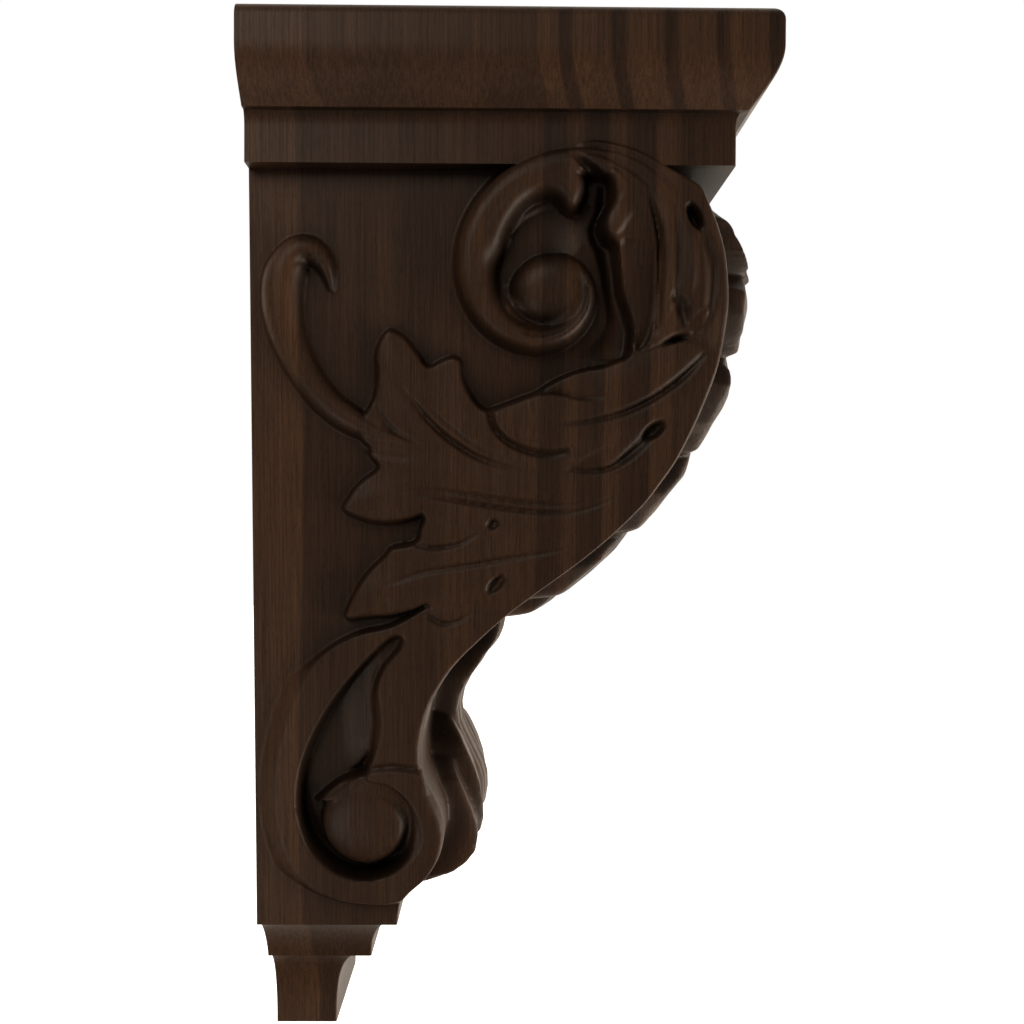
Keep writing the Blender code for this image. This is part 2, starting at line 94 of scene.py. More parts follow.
# Front edge of the carved body on the grid, from the band to the foot
FRONT_EDGE = [
    (88.6, 0), (92.7, 2.6), (95.4, 7.4), (97.8, 12.8), (99.3, 18), (100, 25), (99.8, 31.4), (98.2, 40.6),
    (95.7, 47.8), (93.1, 53.9), (89.8, 60.4), (86.3, 65.5), (83, 69.8), (77.1, 75.7), (71.2, 80.8),
    (65.5, 85.1), (60.3, 88.9), (53.7, 94), (47.5, 99.7), (43, 104.4), (39.8, 109.2), (37.7, 113.6),
    (36.5, 118.5), (36, 123), (36.5, 128), (38.6, 132.4), (40.4, 136.6), (41, 140.4), (40.4, 144.4),
    (39, 147.8), (36.8, 151), (33.6, 153.9), (31.6, 156.4), (31, 158.6), (30.6, 162),
]

# Size of the bevel along the rim, as (down, millimetres)
RIM_BEVEL = [
    (-10, 0.7), (-0.2, 0.7), (4, 1), (20, 1.6), (45, 1.3), (70, 0.9), (96, 0.9), (112, 1.8), (124, 2.8),
    (127.6, 2.4), (129.4, 1.4), (132.4, 4), (136, 3.8), (142, 1.8), (150, 0.9), (162, 0.7),
]

# Softness of the seam where a strand leaves the ground, least size of a line, reach of a lip
SEAM = 0.3
LEAST_SIZE = 1e-3
LIP_SPREAD = 3.2

# Upper volute: a logarithmic spiral round its boss, and its band's width as a share of its radius
BOSS_CENTRE = (63.0, 24.4)
SPIRAL_RADIUS = 41.6
SPIRAL_RATE = 0.241
BAND_SHARE = 0.45


def smooth(points, steps=5):
    """Catmull-Rom curve through points of any length, with steps pieces to each span."""
    ends = [points[0]] + list(points) + [points[-1]]
    result = []
    for before, start, end, after in zip(ends, ends[1:], ends[2:], ends[3:]):
        for step in range(steps):
            t = step / steps
            result.append(tuple(
                0.5 * (2 * b + (c - a) * t + (2 * a - 5 * b + 4 * c - d) * t ** 2
                       + (3 * b - a - 3 * c + d) * t ** 3)
                for a, b, c, d in zip(before, start, end, after)))
    result.append(tuple(points[-1]))
    return result


def unit(value):
    """Value held between 0 and 1."""
    return np.clip(value, 0.0, 1.0)


def ease(value, low, high):
    """0 below low, 1 above high and a smooth rise between."""
    t = unit((value - low) / (high - low))
    return t * t * (3.0 - 2.0 * t)


def table(rows, position):
    """Value at positions in rows of (position, value)."""
    rows = np.array(rows)
    return np.interp(position, rows[:, 0], rows[:, 1])


def blend_max(first, second):
    """The higher of two heights, with a soft seam."""
    return 0.5 * (first + second + np.sqrt((first - second) ** 2 + SEAM ** 2)) - 0.1 * SEAM


class Line:
    """A smooth line on the grid, along rows of (out, down, size, amount).

    It holds how far each point is from the line, how far along it and to which side, and the size
    and the amount at the nearest place on it.
    """

    def __init__(self, rows, grid_u, grid_v, reach=8.0):
        rows = np.array(smooth(rows), float)
        self.distance = np.full(grid_u.shape, 1e6)
        self.along = np.zeros(grid_u.shape)
        self.side = np.zeros(grid_u.shape)
        self.size = np.full(grid_u.shape, LEAST_SIZE)
        self.amount = np.zeros(grid_u.shape)
        low, high = rows[:, :2].min(0) - reach, rows[:, :2].max(0) + reach
        near = (grid_u > low[0]) & (grid_u < high[0]) & (grid_v > low[1]) & (grid_v < high[1])
        u, v = grid_u[near], grid_v[near]
        best = np.full(u.shape, 1e6)
        along = np.zeros(u.shape)
        side = np.zeros(u.shape)
        nearest = np.zeros(u.shape + (2,))
        lengths = np.hypot(*np.diff(rows[:, :2], axis=0).T)
        run = np.concatenate([[0.0], np.cumsum(lengths)])
        for index in range(len(rows) - 1):
            start, step = rows[index, :2], rows[index + 1, :2] - rows[index, :2]
            size = max(step @ step, 1e-9)
            t = unit(((u - start[0]) * step[0] + (v - start[1]) * step[1]) / size)
            off_u, off_v = u - start[0] - t * step[0], v - start[1] - t * step[1]
            distance = np.hypot(off_u, off_v)
            closer = distance < best
            best[closer] = distance[closer]
            along[closer] = ((run[index] + t * lengths[index]) / run[-1])[closer]
            side[closer] = np.sign(step[0] * off_v - step[1] * off_u)[closer]
            mixed = rows[index, 2:] + t[:, None] * (rows[index + 1, 2:] - rows[index, 2:])
            nearest[closer] = mixed[closer]
        self.distance[near] = best
        self.along[near] = along
        self.side[near] = side
        self.size[near] = np.maximum(nearest[:, 0], LEAST_SIZE)
        self.amount[near] = nearest[:, 1]


def edge_distance(points, grid_u, grid_v, steps=3):
    """Distance in grid units inside an outline, negative outside it. 0 steps keep it straight."""
    ring = smooth(points + [points[0]], steps)[:-1] if steps else points
    ring = np.array(ring, float)
    low, high = ring.min(0) - 4.0, ring.max(0) + 4.0
    near = (grid_u > low[0]) & (grid_u < high[0]) & (grid_v > low[1]) & (grid_v < high[1])
    u, v = grid_u[near], grid_v[near]
    best = np.full(u.shape, 1e6)
    inside = np.zeros(u.shape, bool)
    for start, end in zip(ring, np.roll(ring, -1, axis=0)):
        step = end - start
        size = max(step @ step, 1e-9)
        t = unit(((u - start[0]) * step[0] + (v - start[1]) * step[1]) / size)
        best = np.minimum(best, np.hypot(u - start[0] - t * step[0], v - start[1] - t * step[1]))
        crosses = (start[1] > v) != (end[1] > v)
        rise = step[1] if abs(step[1]) > 1e-9 else 1e-9
        inside ^= crosses & (u < start[0] + (v - start[1]) * step[0] / rise)
    result = np.full(grid_u.shape, -4.0)
    result[near] = np.where(inside, best, -best)
    return result


def strand(heights, rows, grid_u, grid_v, power):
    """Raise a rounded strand along rows of (out, down, radius, rise)."""
    line = Line(rows, grid_u, grid_v)
    share = unit(1 - (line.distance / line.size) ** 2) ** power
    raised = line.amount * share
    return np.where(line.distance < line.size, blend_max(heights, raised), heights)


def groove(heights, rows, grid_u, grid_v, lip=0.0):
    """Cut a groove along rows of (out, down, half width, depth), with one lip raised."""
    line = Line(rows, grid_u, grid_v)
    share = np.exp(-(line.distance / line.size) ** 2)
    heights = heights - line.amount * share
    if lip:
        ends = np.sin(np.pi * line.along) ** 0.5
        heights = heights + lip * ends * np.where(
            line.side > 0, np.exp(-(line.distance / (LIP_SPREAD * line.size)) ** 2), 0.0)
    return heights


def pit(heights, centre, radii, turn_degrees, depth, grid_u, grid_v):
    """Drill an oval eye."""
    turn = math.radians(turn_degrees)
    u, v = grid_u - centre[0], grid_v - centre[1]
    along = (u * math.cos(turn) - v * math.sin(turn)) / radii[0]
    across = (u * math.sin(turn) + v * math.cos(turn)) / radii[1]
    share = 1 - ease(np.hypot(along, across), 0.45, 1.15)
    return heights - depth * share


def fall_off(inside, width):
    """Rounded edge of a raised shape: 0 at its outline and 1 from a width inside it."""
    return np.sqrt(unit(1 - (1 - unit(inside / width)) ** 2))


def swell(heights, rows, grid_u, grid_v, inside):
    """Raise a low rounded back along rows of (out, down, half width, rise), inside a shape only."""
    line = Line(rows, grid_u, grid_v, 14.0)
    back = line.amount * np.exp(-(line.distance / line.size) ** 2)
    return heights + back * ease(inside, -0.2, 1)


def past_rim(low, high):
    """Front edge between two levels, upwards, moved out so that a shape runs on past the rim."""
    return [(out + 5.0, down) for out, down in reversed(FRONT_EDGE) if low < down < high]


# Side acanthus leaf: outline, rounded backs, the lobe that lies over its neighbour, and veins
LEAF_RISE = 3.4
OVERLAP_RISE = 1.2
LEAF_OUTLINE = [
    (79.4, 38.4), (74.6, 40.5), (69.2, 41.6), (63.7, 43.9), (59.7, 46.4), (54.2, 48.5), (50.3, 49.8),
    (48.2, 48.9), (46.3, 46.5), (44.9, 43.3), (44.4, 39.8), (42.9, 38.8), (40.6, 39.4), (37.4, 40.9),
    (35.6, 38.6), (33.3, 35.6), (31.2, 33.9), (29.1, 33.3), (27.4, 35.3), (26.3, 38.6), (26.6, 43.1),
    (25.8, 47.8), (23.8, 51.4), (22.6, 54), (23.4, 56.6), (25, 58.1), (24.9, 59.8), (26.9, 62.2),
    (23.2, 64.9), (20.5, 68.3), (19.4, 71.4), (24.2, 73.6), (28.8, 74.1), (32.8, 73.5), (36.3, 72.6),
    (35.6, 75), (34.8, 77.8), (29.9, 78.9), (28.2, 80.7), (24.1, 84.8), (21.3, 89.5), (19.6, 94.4),
    (24.3, 94.2), (29.8, 93.8), (34.3, 92.7), (37.2, 91.6), (37, 94.4), (33, 98), (30.6, 103), (29.6, 110),
    (29.4, 118), (30, 126),
]
# Rows of (out, down, half width, rise)
LEAF_BACKS = [
    [(28.6, 35.5, 3, 1.2), (31, 42, 4.2, 2.2), (36, 49, 4, 2), (43, 55, 3.4, 1.4),
     (52, 59.6, 2.6, 0.7), (62, 62, 2, 0.2)],
    [(43, 40.6, 2.4, 0.5), (45, 47, 3, 0.9), (50, 54, 3, 0.8), (58, 60, 2.4, 0.4)],
    [(20.6, 71.4, 3, 2), (25, 69.6, 4.4, 2), (32, 69, 4.6, 1.5), (42, 71.6, 4, 1),
     (56, 74.6, 4, 0.5), (70, 73, 4, 0.2)],
    [(20.6, 93, 3, 2), (25, 89.6, 4.4, 2), (33, 88.6, 4.2, 1.5), (44, 88.4, 4, 0.9),
     (54, 86, 4, 0.3)],
    [(30, 80.4, 2.6, 0.8), (37, 80.2, 3, 0.8), (46, 79.2, 3, 0.4)],
    [(25.4, 60, 3, 0.6), (32, 61.6, 3.6, 1), (42, 63.8, 3.4, 0.8), (54, 66.2, 3, 0.5),
     (66, 66.4, 3, 0.3)],
    [(52.4, 51.6, 3, 2), (58, 52.6, 4.6, 1.8), (66, 54.6, 4.4, 1.4), (76, 53, 4, 1.2),
     (86, 48.6, 4, 0.9), (94, 42, 3, 0.4)],
    [(76, 44.4, 3.4, 0.9), (84, 41.6, 3.6, 1.1), (91, 37.4, 3, 0.8)],
]
LEAF_OVERLAP = [
    (50.3, 49.9), (54.2, 48.4), (60, 46.4), (66.4, 46.9), (72, 47.8), (80, 45.6), (88, 42.2), (90, 46),
    (80, 54), (72, 59.4), (67.2, 61.2), (66.9, 58.2), (63.2, 58.8), (58.7, 58.2), (54.1, 56.3),
    (51.4, 53.2),
]
# Rows of (out, down, half width, depth), with the height of the lip beside each vein
LEAF_VEINS = [
    ([(32.3, 45.8, 0.4, 0.5), (36.3, 50.9, 0.55, 1.6), (40.2, 54.9, 0.6, 2), (44.3, 57.9, 0.6, 2),
      (47.8, 59.9, 0.55, 1.7), (52.4, 61.5, 0.5, 1.1), (60, 63.4, 0.4, 0.3)], -0.3),
    ([(33.8, 45, 0.35, 0.3), (38.2, 50, 0.4, 0.9), (42.2, 53.6, 0.4, 1.1), (46.4, 56.8, 0.4, 1.1),
      (50.8, 59.1, 0.4, 0.8), (58, 61.4, 0.4, 0.2)], 0),
    ([(31, 67.2, 0.35, 0), (35.7, 66.9, 0.45, 0.9), (43, 67.5, 0.45, 1.3), (49.7, 68.4, 0.45, 1.4),
      (56.5, 69.3, 0.45, 1.4), (63.2, 69.9, 0.45, 1.1), (68.3, 69.7, 0.4, 0.8),
      (74, 67.9, 0.4, 0)], 0),
    ([(33, 68, 0.35, 0), (37.7, 68.1, 0.45, 1), (44, 69.1, 0.45, 1.5), (50.7, 70.2, 0.45, 1.6),
      (57.5, 71.1, 0.45, 1.5), (63.9, 71.5, 0.45, 1.3), (69.3, 71.1, 0.4, 1), (74.9, 69.1, 0.4, 0.6),
      (79, 66.4, 0.4, 0)], 0),
    ([(28, 87.4, 0.35, 0.1), (33, 85.5, 0.45, 0.8), (37.4, 84.1, 0.45, 1.1), (46.4, 82.8, 0.5, 1.3),
      (54.2, 81.4, 0.5, 1.2), (61.6, 80.2, 0.45, 0.9), (68.3, 78.8, 0.4, 0.3)], 0.2),
    ([(61, 52.4, 0.4, 0), (66.7, 52.7, 0.5, 0.8), (73.8, 51.6, 0.6, 1.4), (79.4, 49.9, 0.65, 1.7),
      (85, 47.1, 0.65, 1.9), (90.6, 43, 0.7, 1.9), (95, 38.4, 0.6, 0.8)], -0.6),
    ([(50.5, 50.6, 0.5, 1.4), (51.3, 53.8, 0.5, 1.6), (54.1, 56.8, 0.5, 1.6), (58.7, 58.8, 0.5, 1.4),
      (63.2, 59.4, 0.5, 1.2), (66.7, 58.8, 0.45, 1)], 0),
    ([(67.2, 62.4, 0.4, 1.1), (71.1, 62.8, 0.5, 1.4), (75.6, 62.2, 0.6, 1.6), (79.5, 59.6, 0.9, 2.2),
      (82.8, 56.4, 1.1, 1.8)], 0.5),
    ([(35.2, 78.6, 0.45, 1.2), (39, 79.2, 0.5, 1.6), (44.1, 78.3, 0.5, 1.3),
      (48.1, 75.9, 0.45, 0.6)], 0.4),
    ([(37.6, 93.8, 0.45, 1.2), (40.1, 95.3, 0.5, 1.5), (43.7, 94.9, 0.5, 1.2),
      (47.4, 92.3, 0.45, 0.3)], 0.5),
    ([(58.6, 47.4, 0.35, 0.3), (63.5, 46.4, 0.4, 0.8), (66.4, 46.7, 0.4, 0.9), (69.2, 47.6, 0.4, 0.8),
      (73.7, 47.5, 0.4, 0.3)], 0.5),
    ([(26.2, 47, 0.4, 0.3), (27.6, 51.6, 0.6, 1.2), (30.4, 54.8, 0.6, 1.2),
      (34.6, 57, 0.5, 0.6)], 0.3),
    ([(25, 58.9, 0.4, 0.8), (29.5, 60, 0.45, 0.8), (34.5, 60.6, 0.4, 0.2)], 0.3),
]
# Teardrop eyes as (centre, radii, turn in degrees, depth)
LEAF_EYES = [
    ((84.9, 54.2), (2.9, 1.5), 38, 3.4),
    ((51.2, 74.1), (1.5, 1.2), 20, 1.8),
    ((51.9, 86.8), (2.8, 1.3), 46, 2),
]


def carve_leaf(heights, u, v):
    """Side acanthus leaf: its plate, lobes, veins and eyes."""
    inside = edge_distance(LEAF_OUTLINE + past_rim(30.0, 126.0), u, v)
    level = LEAF_RISE + ease(u, 45, 95) - 0.8 * ease(v, 88, 112)
    plate = level * fall_off(inside, 0.7)
    for rows in LEAF_BACKS:
        plate = swell(plate, rows, u, v, inside)
    heights = np.where(inside > 0, np.maximum(heights, plate), heights)
    over = edge_distance(LEAF_OVERLAP, u, v, 2)
    heights += OVERLAP_RISE * fall_off(over, 0.8) * (1 - ease(u, 62, 80))
    for rows, lip in LEAF_VEINS:
        heights = groove(heights, rows, u, v, lip)
    for eye in LEAF_EYES:
        heights = pit(heights, *eye, u, v)
    return heights


# Leaf folds: their outline below and above the part that runs on past the rim
FOLDS_RISE = 6.6
FOLDS_LOWER = [
    (66, -4.4), (68.6, -2.2), (72.4, 0.6), (75.3, 4), (75.4, 6.9), (73.8, 9.8), (73.3, 12.3), (74.3, 14.7),
    (76.3, 16.2), (77, 20.5), (77.5, 25.4), (78.7, 29.3), (79.9, 33.1), (79.7, 36.5), (79.4, 39.3),
    (83, 38.2), (86.4, 36.6), (90, 34.8), (94, 36), (98, 40),
]
FOLDS_UPPER = [(89.6, 1), (87.3, -0.2), (82.6, -2.9), (77.9, -4.5), (71.8, -5.6)]
FOLD_PANEL = [
    (77.2, 17.4), (77.4, 14.6), (79, 13.2), (81, 11), (84.2, 9.4), (84.7, 14.7), (85.1, 21.5), (85, 28.8),
    (84.4, 33.6), (82.6, 37.4), (80.6, 37.6), (80.2, 34), (78.8, 30), (77.6, 25.4),
]
FOLD_STRIP = [
    (73, 0.4), (77, 0.2), (81.4, 3), (83.4, 7.9), (84, 12.2), (81.6, 13.2), (79.6, 14.4), (77.4, 15.4),
    (75.4, 15.3), (73.9, 14.2), (73.2, 12.3), (73.8, 9.8), (75.4, 6.9), (75.2, 4),
]
FOLD_FACET = [
    (91.8, 31.6), (92.8, 30.2), (95.5, 28), (96, 29.4), (95.2, 32.4), (93.4, 35), (92.3, 34.4),
]
FOLD_EYE = ((92.5, 10.2), (2.9, 1.3), -66.0, 5.0)
PANEL_SINK = 1.7
STRIP_RISE = 6.0
# Ridges as rows of (out, down, radius, rise), grooves as rows of (out, down, half width, depth)
FOLD_LINES = [
    ("groove", [(82.2, 4.4, 0.4, 0.4), (83.6, 7.6, 0.6, 1.6), (85.2, 13.6, 0.7, 2.8),
                (85.6, 20, 0.7, 3), (85.4, 26.4, 0.65, 2.8), (85.1, 33, 0.5, 1.6),
                (84.2, 36.4, 0.4, 0.4)]),
    ("ridge", [(85, 5, 1, 6), (87, 10.6, 1.4, 6.9), (87.7, 16.6, 1.5, 7.2),
               (87.7, 22.6, 1.5, 7.1), (87.2, 28.6, 1.4, 6.6), (85.6, 33.8, 1.2, 5.6),
               (82.6, 37.2, 0.9, 4.2)]),
    ("groove", [(87.2, 6, 0.35, 0.3), (88.7, 11, 0.4, 0.9), (89.2, 17, 0.4, 1.1),
                (89.1, 23, 0.4, 1.1), (88.6, 27, 0.4, 1)]),
    ("ridge", [(89, 8.6, 1.4, 6), (91.4, 14, 2.7, 7.2), (92, 19, 3.1, 7.6),
               (92, 23.6, 2.9, 7.4), (91.6, 27, 1.6, 6.4)]),
    ("groove", [(93.6, 11.6, 0.7, 0.8), (95, 15, 0.9, 1.7), (96.6, 20, 0.9, 1.7),
                (96.4, 26.3, 0.8, 1.5), (95.2, 31.2, 0.7, 1), (92.6, 35.4, 0.7, 0.4)]),
    ("groove", [(89, 26.8, 0.9, 1.6), (90.2, 28.8, 1.5, 3), (90.8, 31.6, 1.2, 2)]),
]


def carve_folds(heights, u, v):
    """Leaf folds between the slot and the rim: strip with a curled end, tall panel, ridge, fold, eye."""
    inside = edge_distance(FOLDS_LOWER + past_rim(4.0, 40.0) + FOLDS_UPPER, u, v)
    level = FOLDS_RISE - 1.5 * ease(u, 94, 100) - 1.4 * ease(v, 26, 40)
    heights = np.where(inside > 0, np.maximum(heights, level * fall_off(inside, 1.3)), heights)
    over = edge_distance(FOLD_PANEL, u, v)
    tilt = PANEL_SINK + 0.9 * unit((u - 77.5) / 7.5)
    beside = ease(u, 78.6, 82)
    tilt = tilt * (ease(v, 14.4, 15.8) * (1 - beside) + ease(v, 8, 24) * beside)
    heights = heights - tilt * ease(over, -0.1, 0.7)
    over = edge_distance(FOLD_STRIP, u, v)
    rounded = STRIP_RISE + 2.2 * fall_off(over, 3.6) - 1.3 * ease(u, 77, 82) * ease(v, 2, 8)
    edge = 1.4 + 4.6 * ease(u, 75.6, 79.6)
    heights = np.where(over > 0, np.maximum(heights, rounded * fall_off(over, edge)), heights)
    for kind, rows in FOLD_LINES:
        if kind == "ridge":
            heights = strand(heights, rows, u, v, 0.9)
        else:
            heights = groove(heights, rows, u, v)
    over = edge_distance(FOLD_FACET, u, v, 0)
    facet = 5.4 + 0.30 * (u - 93.6) - 0.16 * (v - 31.4)
    heights = np.where(over > 0, heights + (facet - heights) * ease(over, 0, 0.4), heights)
    return pit(heights, *FOLD_EYE, u, v)


# Upper volute: how far the boss reaches, as (turn in degrees, radius)
BOSS_REACH = [
    (0, 9.3), (45, 8.3), (90, 6.9), (135, 7.4), (180, 8.4), (225, 8.5), (270, 8), (315, 9.6), (360, 9.3),
]
BOSS_RISE = 8.6
# Cross-section of the rolled band, as (share of the way in, height)
BAND_PROFILE = [
    (-0.06, -0.5), (0, 1.6), (0.08, 5.6), (0.2, 7.7), (0.32, 8.5), (0.43, 8.5), (0.47, 8.1), (0.52, 8.2),
    (0.66, 7.2), (0.8, 5), (0.93, 1.6), (1.04, -1.6),
]
CURL_OUTLINE = [
    (45.4, 21.3), (47.4, 11.3), (50.6, 6.6), (55.1, 2.8), (60, 0.4), (65.2, -1.1), (68.4, -0.4),
    (69.9, 1.8), (70.4, 4.4), (69.4, 7.6), (67.6, 9.2), (65.6, 8.8), (64.2, 6.9), (62, 6.3), (59.3, 6.9),
    (56.2, 9.8), (53.6, 14.6), (52.2, 21), (50.5, 24), (46.6, 24.6),
]
CURL_RISE = 8.3
BOSS_GROOVE = [
    (54, 26.4, 0.5, 0.5), (56.4, 29.8, 0.6, 1.5), (60.4, 31.9, 0.6, 1.5), (64.2, 32, 0.5, 0.8),
    (67.4, 30.6, 0.4, 0.1),
]
# Slot between the boss and the folds: its sides as (down, out), its levels as (down, height)
SLOT_LEFT = [
    (-2, 66.5), (1, 69.4), (4, 70.6), (8, 70.9), (12, 69.6), (16, 69.9), (20, 71.2), (25, 72.4), (30, 72.3),
    (34, 70.6), (38, 67), (41, 64),
]
SLOT_RIGHT = [
    (-2, 68.5), (1, 72.6), (4, 75.3), (6.9, 75.4), (9.8, 73.8), (12.3, 73.2), (14.7, 74.2), (16.2, 76.2),
    (20.5, 77), (25.4, 77.5), (29.3, 78.7), (33.1, 79.9), (36.5, 79.7), (41, 78.5),
]
SLOT_DEEP = [(-2, 7.4), (1, 4), (4, -1.5), (8, -3), (14, -2.8), (30, -2.4), (37, -2), (41, -0.2)]
SLOT_BEGIN = [(-2, 7.8), (1, 5.6), (4, 3.6), (10, 1), (16, 2), (30, 2.2), (36, 0.4), (41, 0)]
RIM_GROOVES = [
    [(58, -1.6, 0.3, 0.3), (64, -3.2, 0.35, 0.8), (70, -3.6, 0.35, 1), (76, -2.8, 0.35, 1),
     (82, -0.4, 0.35, 1), (87, 4, 0.35, 0.8), (91, 9, 0.3, 0.2)],
    [(69, -2.2, 0.3, 0.3), (74, -1.4, 0.4, 1), (79.4, 1.2, 0.4, 1.1), (83.6, 5, 0.4, 0.9),
     (86.4, 9.6, 0.3, 0.3)],
]


def carve_boss(heights, radius, turn):
    """Boss of the volute, which the last part of the spiral runs up into."""
    reach = table(BOSS_REACH, np.degrees(turn))
    dome = BOSS_RISE * unit(1 - (radius / reach) ** 2.6) ** 0.55 - 1.2
    lap = np.where(turn < 1.8, turn + 2.0 * math.pi, turn)
    last = SPIRAL_RADIUS * np.exp(-SPIRAL_RATE * lap)
    end = table(BAND_PROFILE, (1 - radius / last) / BAND_SHARE)
    end = end * (0.86 - 0.10 * ease(lap, 5, 6.4)) * (1 - ease(lap, 6.2, 8))
    crease = -1.4 + 5.0 * ease(turn, 3, 3.7) + 2.4 * ease(turn, 4.6, 5.4)
    crease = np.where((turn > 3.0) & (radius < 0.72 * last), crease, -9.0)
    inner = (radius < 0.78 * last) & (lap > 4.2)
    within = np.where(inner, np.maximum(dome, end), np.maximum(dome, heights))
    within = np.where((radius < 5.6) | ((lap < 4.2) & (radius < reach)), dome, within)
    within = np.where((lap > 2.0 * math.pi) & (radius < last), np.maximum(within, end), within)
    within = np.maximum(within, crease)
    return np.where(radius < np.maximum(reach, 0.8 * last), within, np.maximum(heights, crease))


def carve_head(heights, u, v):
    """Upper volute: folds by the rim, rolled band, boss, hanging curl and the slot between them."""
    heights = carve_folds(heights, u, v)
    over_u, over_v = u - BOSS_CENTRE[0], BOSS_CENTRE[1] - v
    radius = np.hypot(over_u, over_v)
    turn = np.arctan2(over_v, over_u) % (2.0 * math.pi)
    outer = SPIRAL_RADIUS * np.exp(-SPIRAL_RATE * turn)
    share = (1 - radius / outer) / BAND_SHARE
    ring = table(BAND_PROFILE, share) * (1 - 0.14 * ease(turn, 3.6, 6.2))
    in_band = (share > -0.06) & (share < 1.04) & (turn > 0.6)
    floor = -1.4 + 2.0 * ease(u, 63, 70) * ease(v, 8, 19)
    hollow = (share >= 0.9) & (turn > 0.9) & (turn < 5.0) & (u < 73.0)
    heights = np.where(hollow, floor, heights)
    begins = ease(turn, 0.66, 1.25)
    heights = np.where(in_band & (share < 0.5), np.maximum(heights, ring * begins), heights)
    keep = in_band & (share >= 0.5) & (turn > 2.25)
    heights = np.where(keep, np.maximum(ring, floor), heights)
    over = edge_distance(CURL_OUTLINE, u, v)
    raised = (CURL_RISE - 0.3 * ease(u, 60, 69)) * fall_off(over, 3.0)
    raised += (np.minimum(raised, ring) - raised) * ease(turn, 2.3, 2.9)
    under = np.where((share < 0.55) | (turn > 2.25), heights, floor)
    heights = np.where(over > 0, np.maximum(under, raised), heights)
    heights = carve_boss(heights, radius, turn)
    heights = groove(heights, BOSS_GROOVE, u, v)
    left, right = table(SLOT_LEFT, v), table(SLOT_RIGHT, v)
    across = (u - left) / np.maximum(right - left, 0.5)
    begin = table(SLOT_BEGIN, v)
    valley = begin + (table(SLOT_DEEP, v) - begin) * ease(across, 0, 0.72)
    in_valley = (across > 0.0) & (across < 1.0) & (v > -2.0) & (v < 39.4)
    wall = ease(right - u, 0, 0.9)
    heights = np.where(in_valley, np.minimum(heights, heights + (valley - heights) * wall), heights)
    for rows in RIM_GROOVES:
        heights = groove(heights, rows, u, v)
    return heights


# Tendril as rows of (out, down, radius, rise), and its groove
TENDRIL = [
    (17.2, 25, 0.8, 1.6), (16.2, 20.6, 2, 4.4), (13.4, 17.4, 2.9, 5.6), (10, 17.8, 3.7, 6.4),
    (7.4, 22, 4.5, 7), (6.8, 28, 4.5, 7), (8, 35, 3.9, 6.2), (11.4, 42.4, 3.4, 5.4), (16, 48.4, 3.2, 4.9),
    (21.4, 52.4, 3, 4.8), (28, 55.4, 2, 4.6), (36, 58, 0.8, 4.2),
]
TENDRIL_GROOVE = [(9.8, 20.4, 0.4, 0.4), (12.6, 18.9, 0.5, 1), (15.6, 18.6, 0.4, 0.4)]


def carve_tendril(heights, u, v):
    """Hooked tendril at the top of the side, by the wall."""
    heights = strand(heights, TENDRIL, u, v, 0.62)
    return groove(heights, TENDRIL_GROOVE, u, v)


# Lower scroll: outline, comma-shaped hollow, neck over it, disc and grooves
SCROLL_RISE = 3.6
SCROLL_OUTLINE = [
    (37, 92), (30, 96), (22, 98), (14.6, 102.6), (9.6, 111), (6.6, 119.6), (4.9, 128), (4.8, 136),
    (6.4, 144), (9.4, 150), (13.8, 154), (19.4, 156), (26, 156.6), (31.6, 156),
]
HOLLOW_FLOOR = -2.8
HOLLOW_OUTLINE = [
    (32.6, 98.2), (30.4, 97.5), (27.6, 99), (23.2, 103.6), (18.6, 109.2), (14.8, 114.9), (11.5, 121.6),
    (9.5, 128.1), (9, 134.7), (10, 140), (12, 144.8), (15.6, 148.6), (19.3, 150.6), (23, 151.4),
    (26.9, 151), (30.4, 149.6), (33.6, 146.4), (35, 142), (34.6, 136.6), (32, 132.2), (28.4, 129.8),
    (24.6, 129), (26, 124), (27, 117), (26.6, 110.4), (28.4, 105.4), (32, 101),
]
NECK_STEP = 0.9
NECK_OUTLINE = [
    (12.6, 134.6), (16.6, 130.8), (21.2, 128.3), (28.3, 126.9), (34.5, 127.3), (40, 128.6), (46, 136),
    (44, 152), (32, 158), (27, 152.6), (31.4, 149.8), (34.4, 146), (35.8, 141.6), (34.8, 136.6), (31, 132),
    (24, 131.4), (18, 134),
]
NECK_GROOVE = [
    (21.2, 127.8, 0.4, 0.5), (28.3, 126.3, 0.45, 1.1), (34.5, 126.7, 0.45, 1.1), (39.4, 127.8, 0.45, 1.1),
]
DISC_GROOVE = [
    (26.6, 132, 0.5, 0.4), (30, 133.8, 0.7, 1.3), (32.6, 137.4, 0.8, 1.7), (32.6, 141.6, 0.9, 2),
    (30.4, 145.6, 1, 2.2), (27, 148.2, 1, 1.8),
]
HOLLOW_GROOVE = [
    (27.4, 104.6, 0.4, 0.6), (26, 109, 0.5, 1.2), (26.7, 116, 0.5, 1.2), (25.8, 122.4, 0.5, 1.2),
    (22.2, 127.7, 0.5, 1.4), (18.1, 131, 0.6, 1.6), (14.2, 133.6, 0.6, 1.2),
]
DISC_CENTRE = (24.2, 138.4)
DISC_RISE = 5.9
DISC_REACH = 10.0


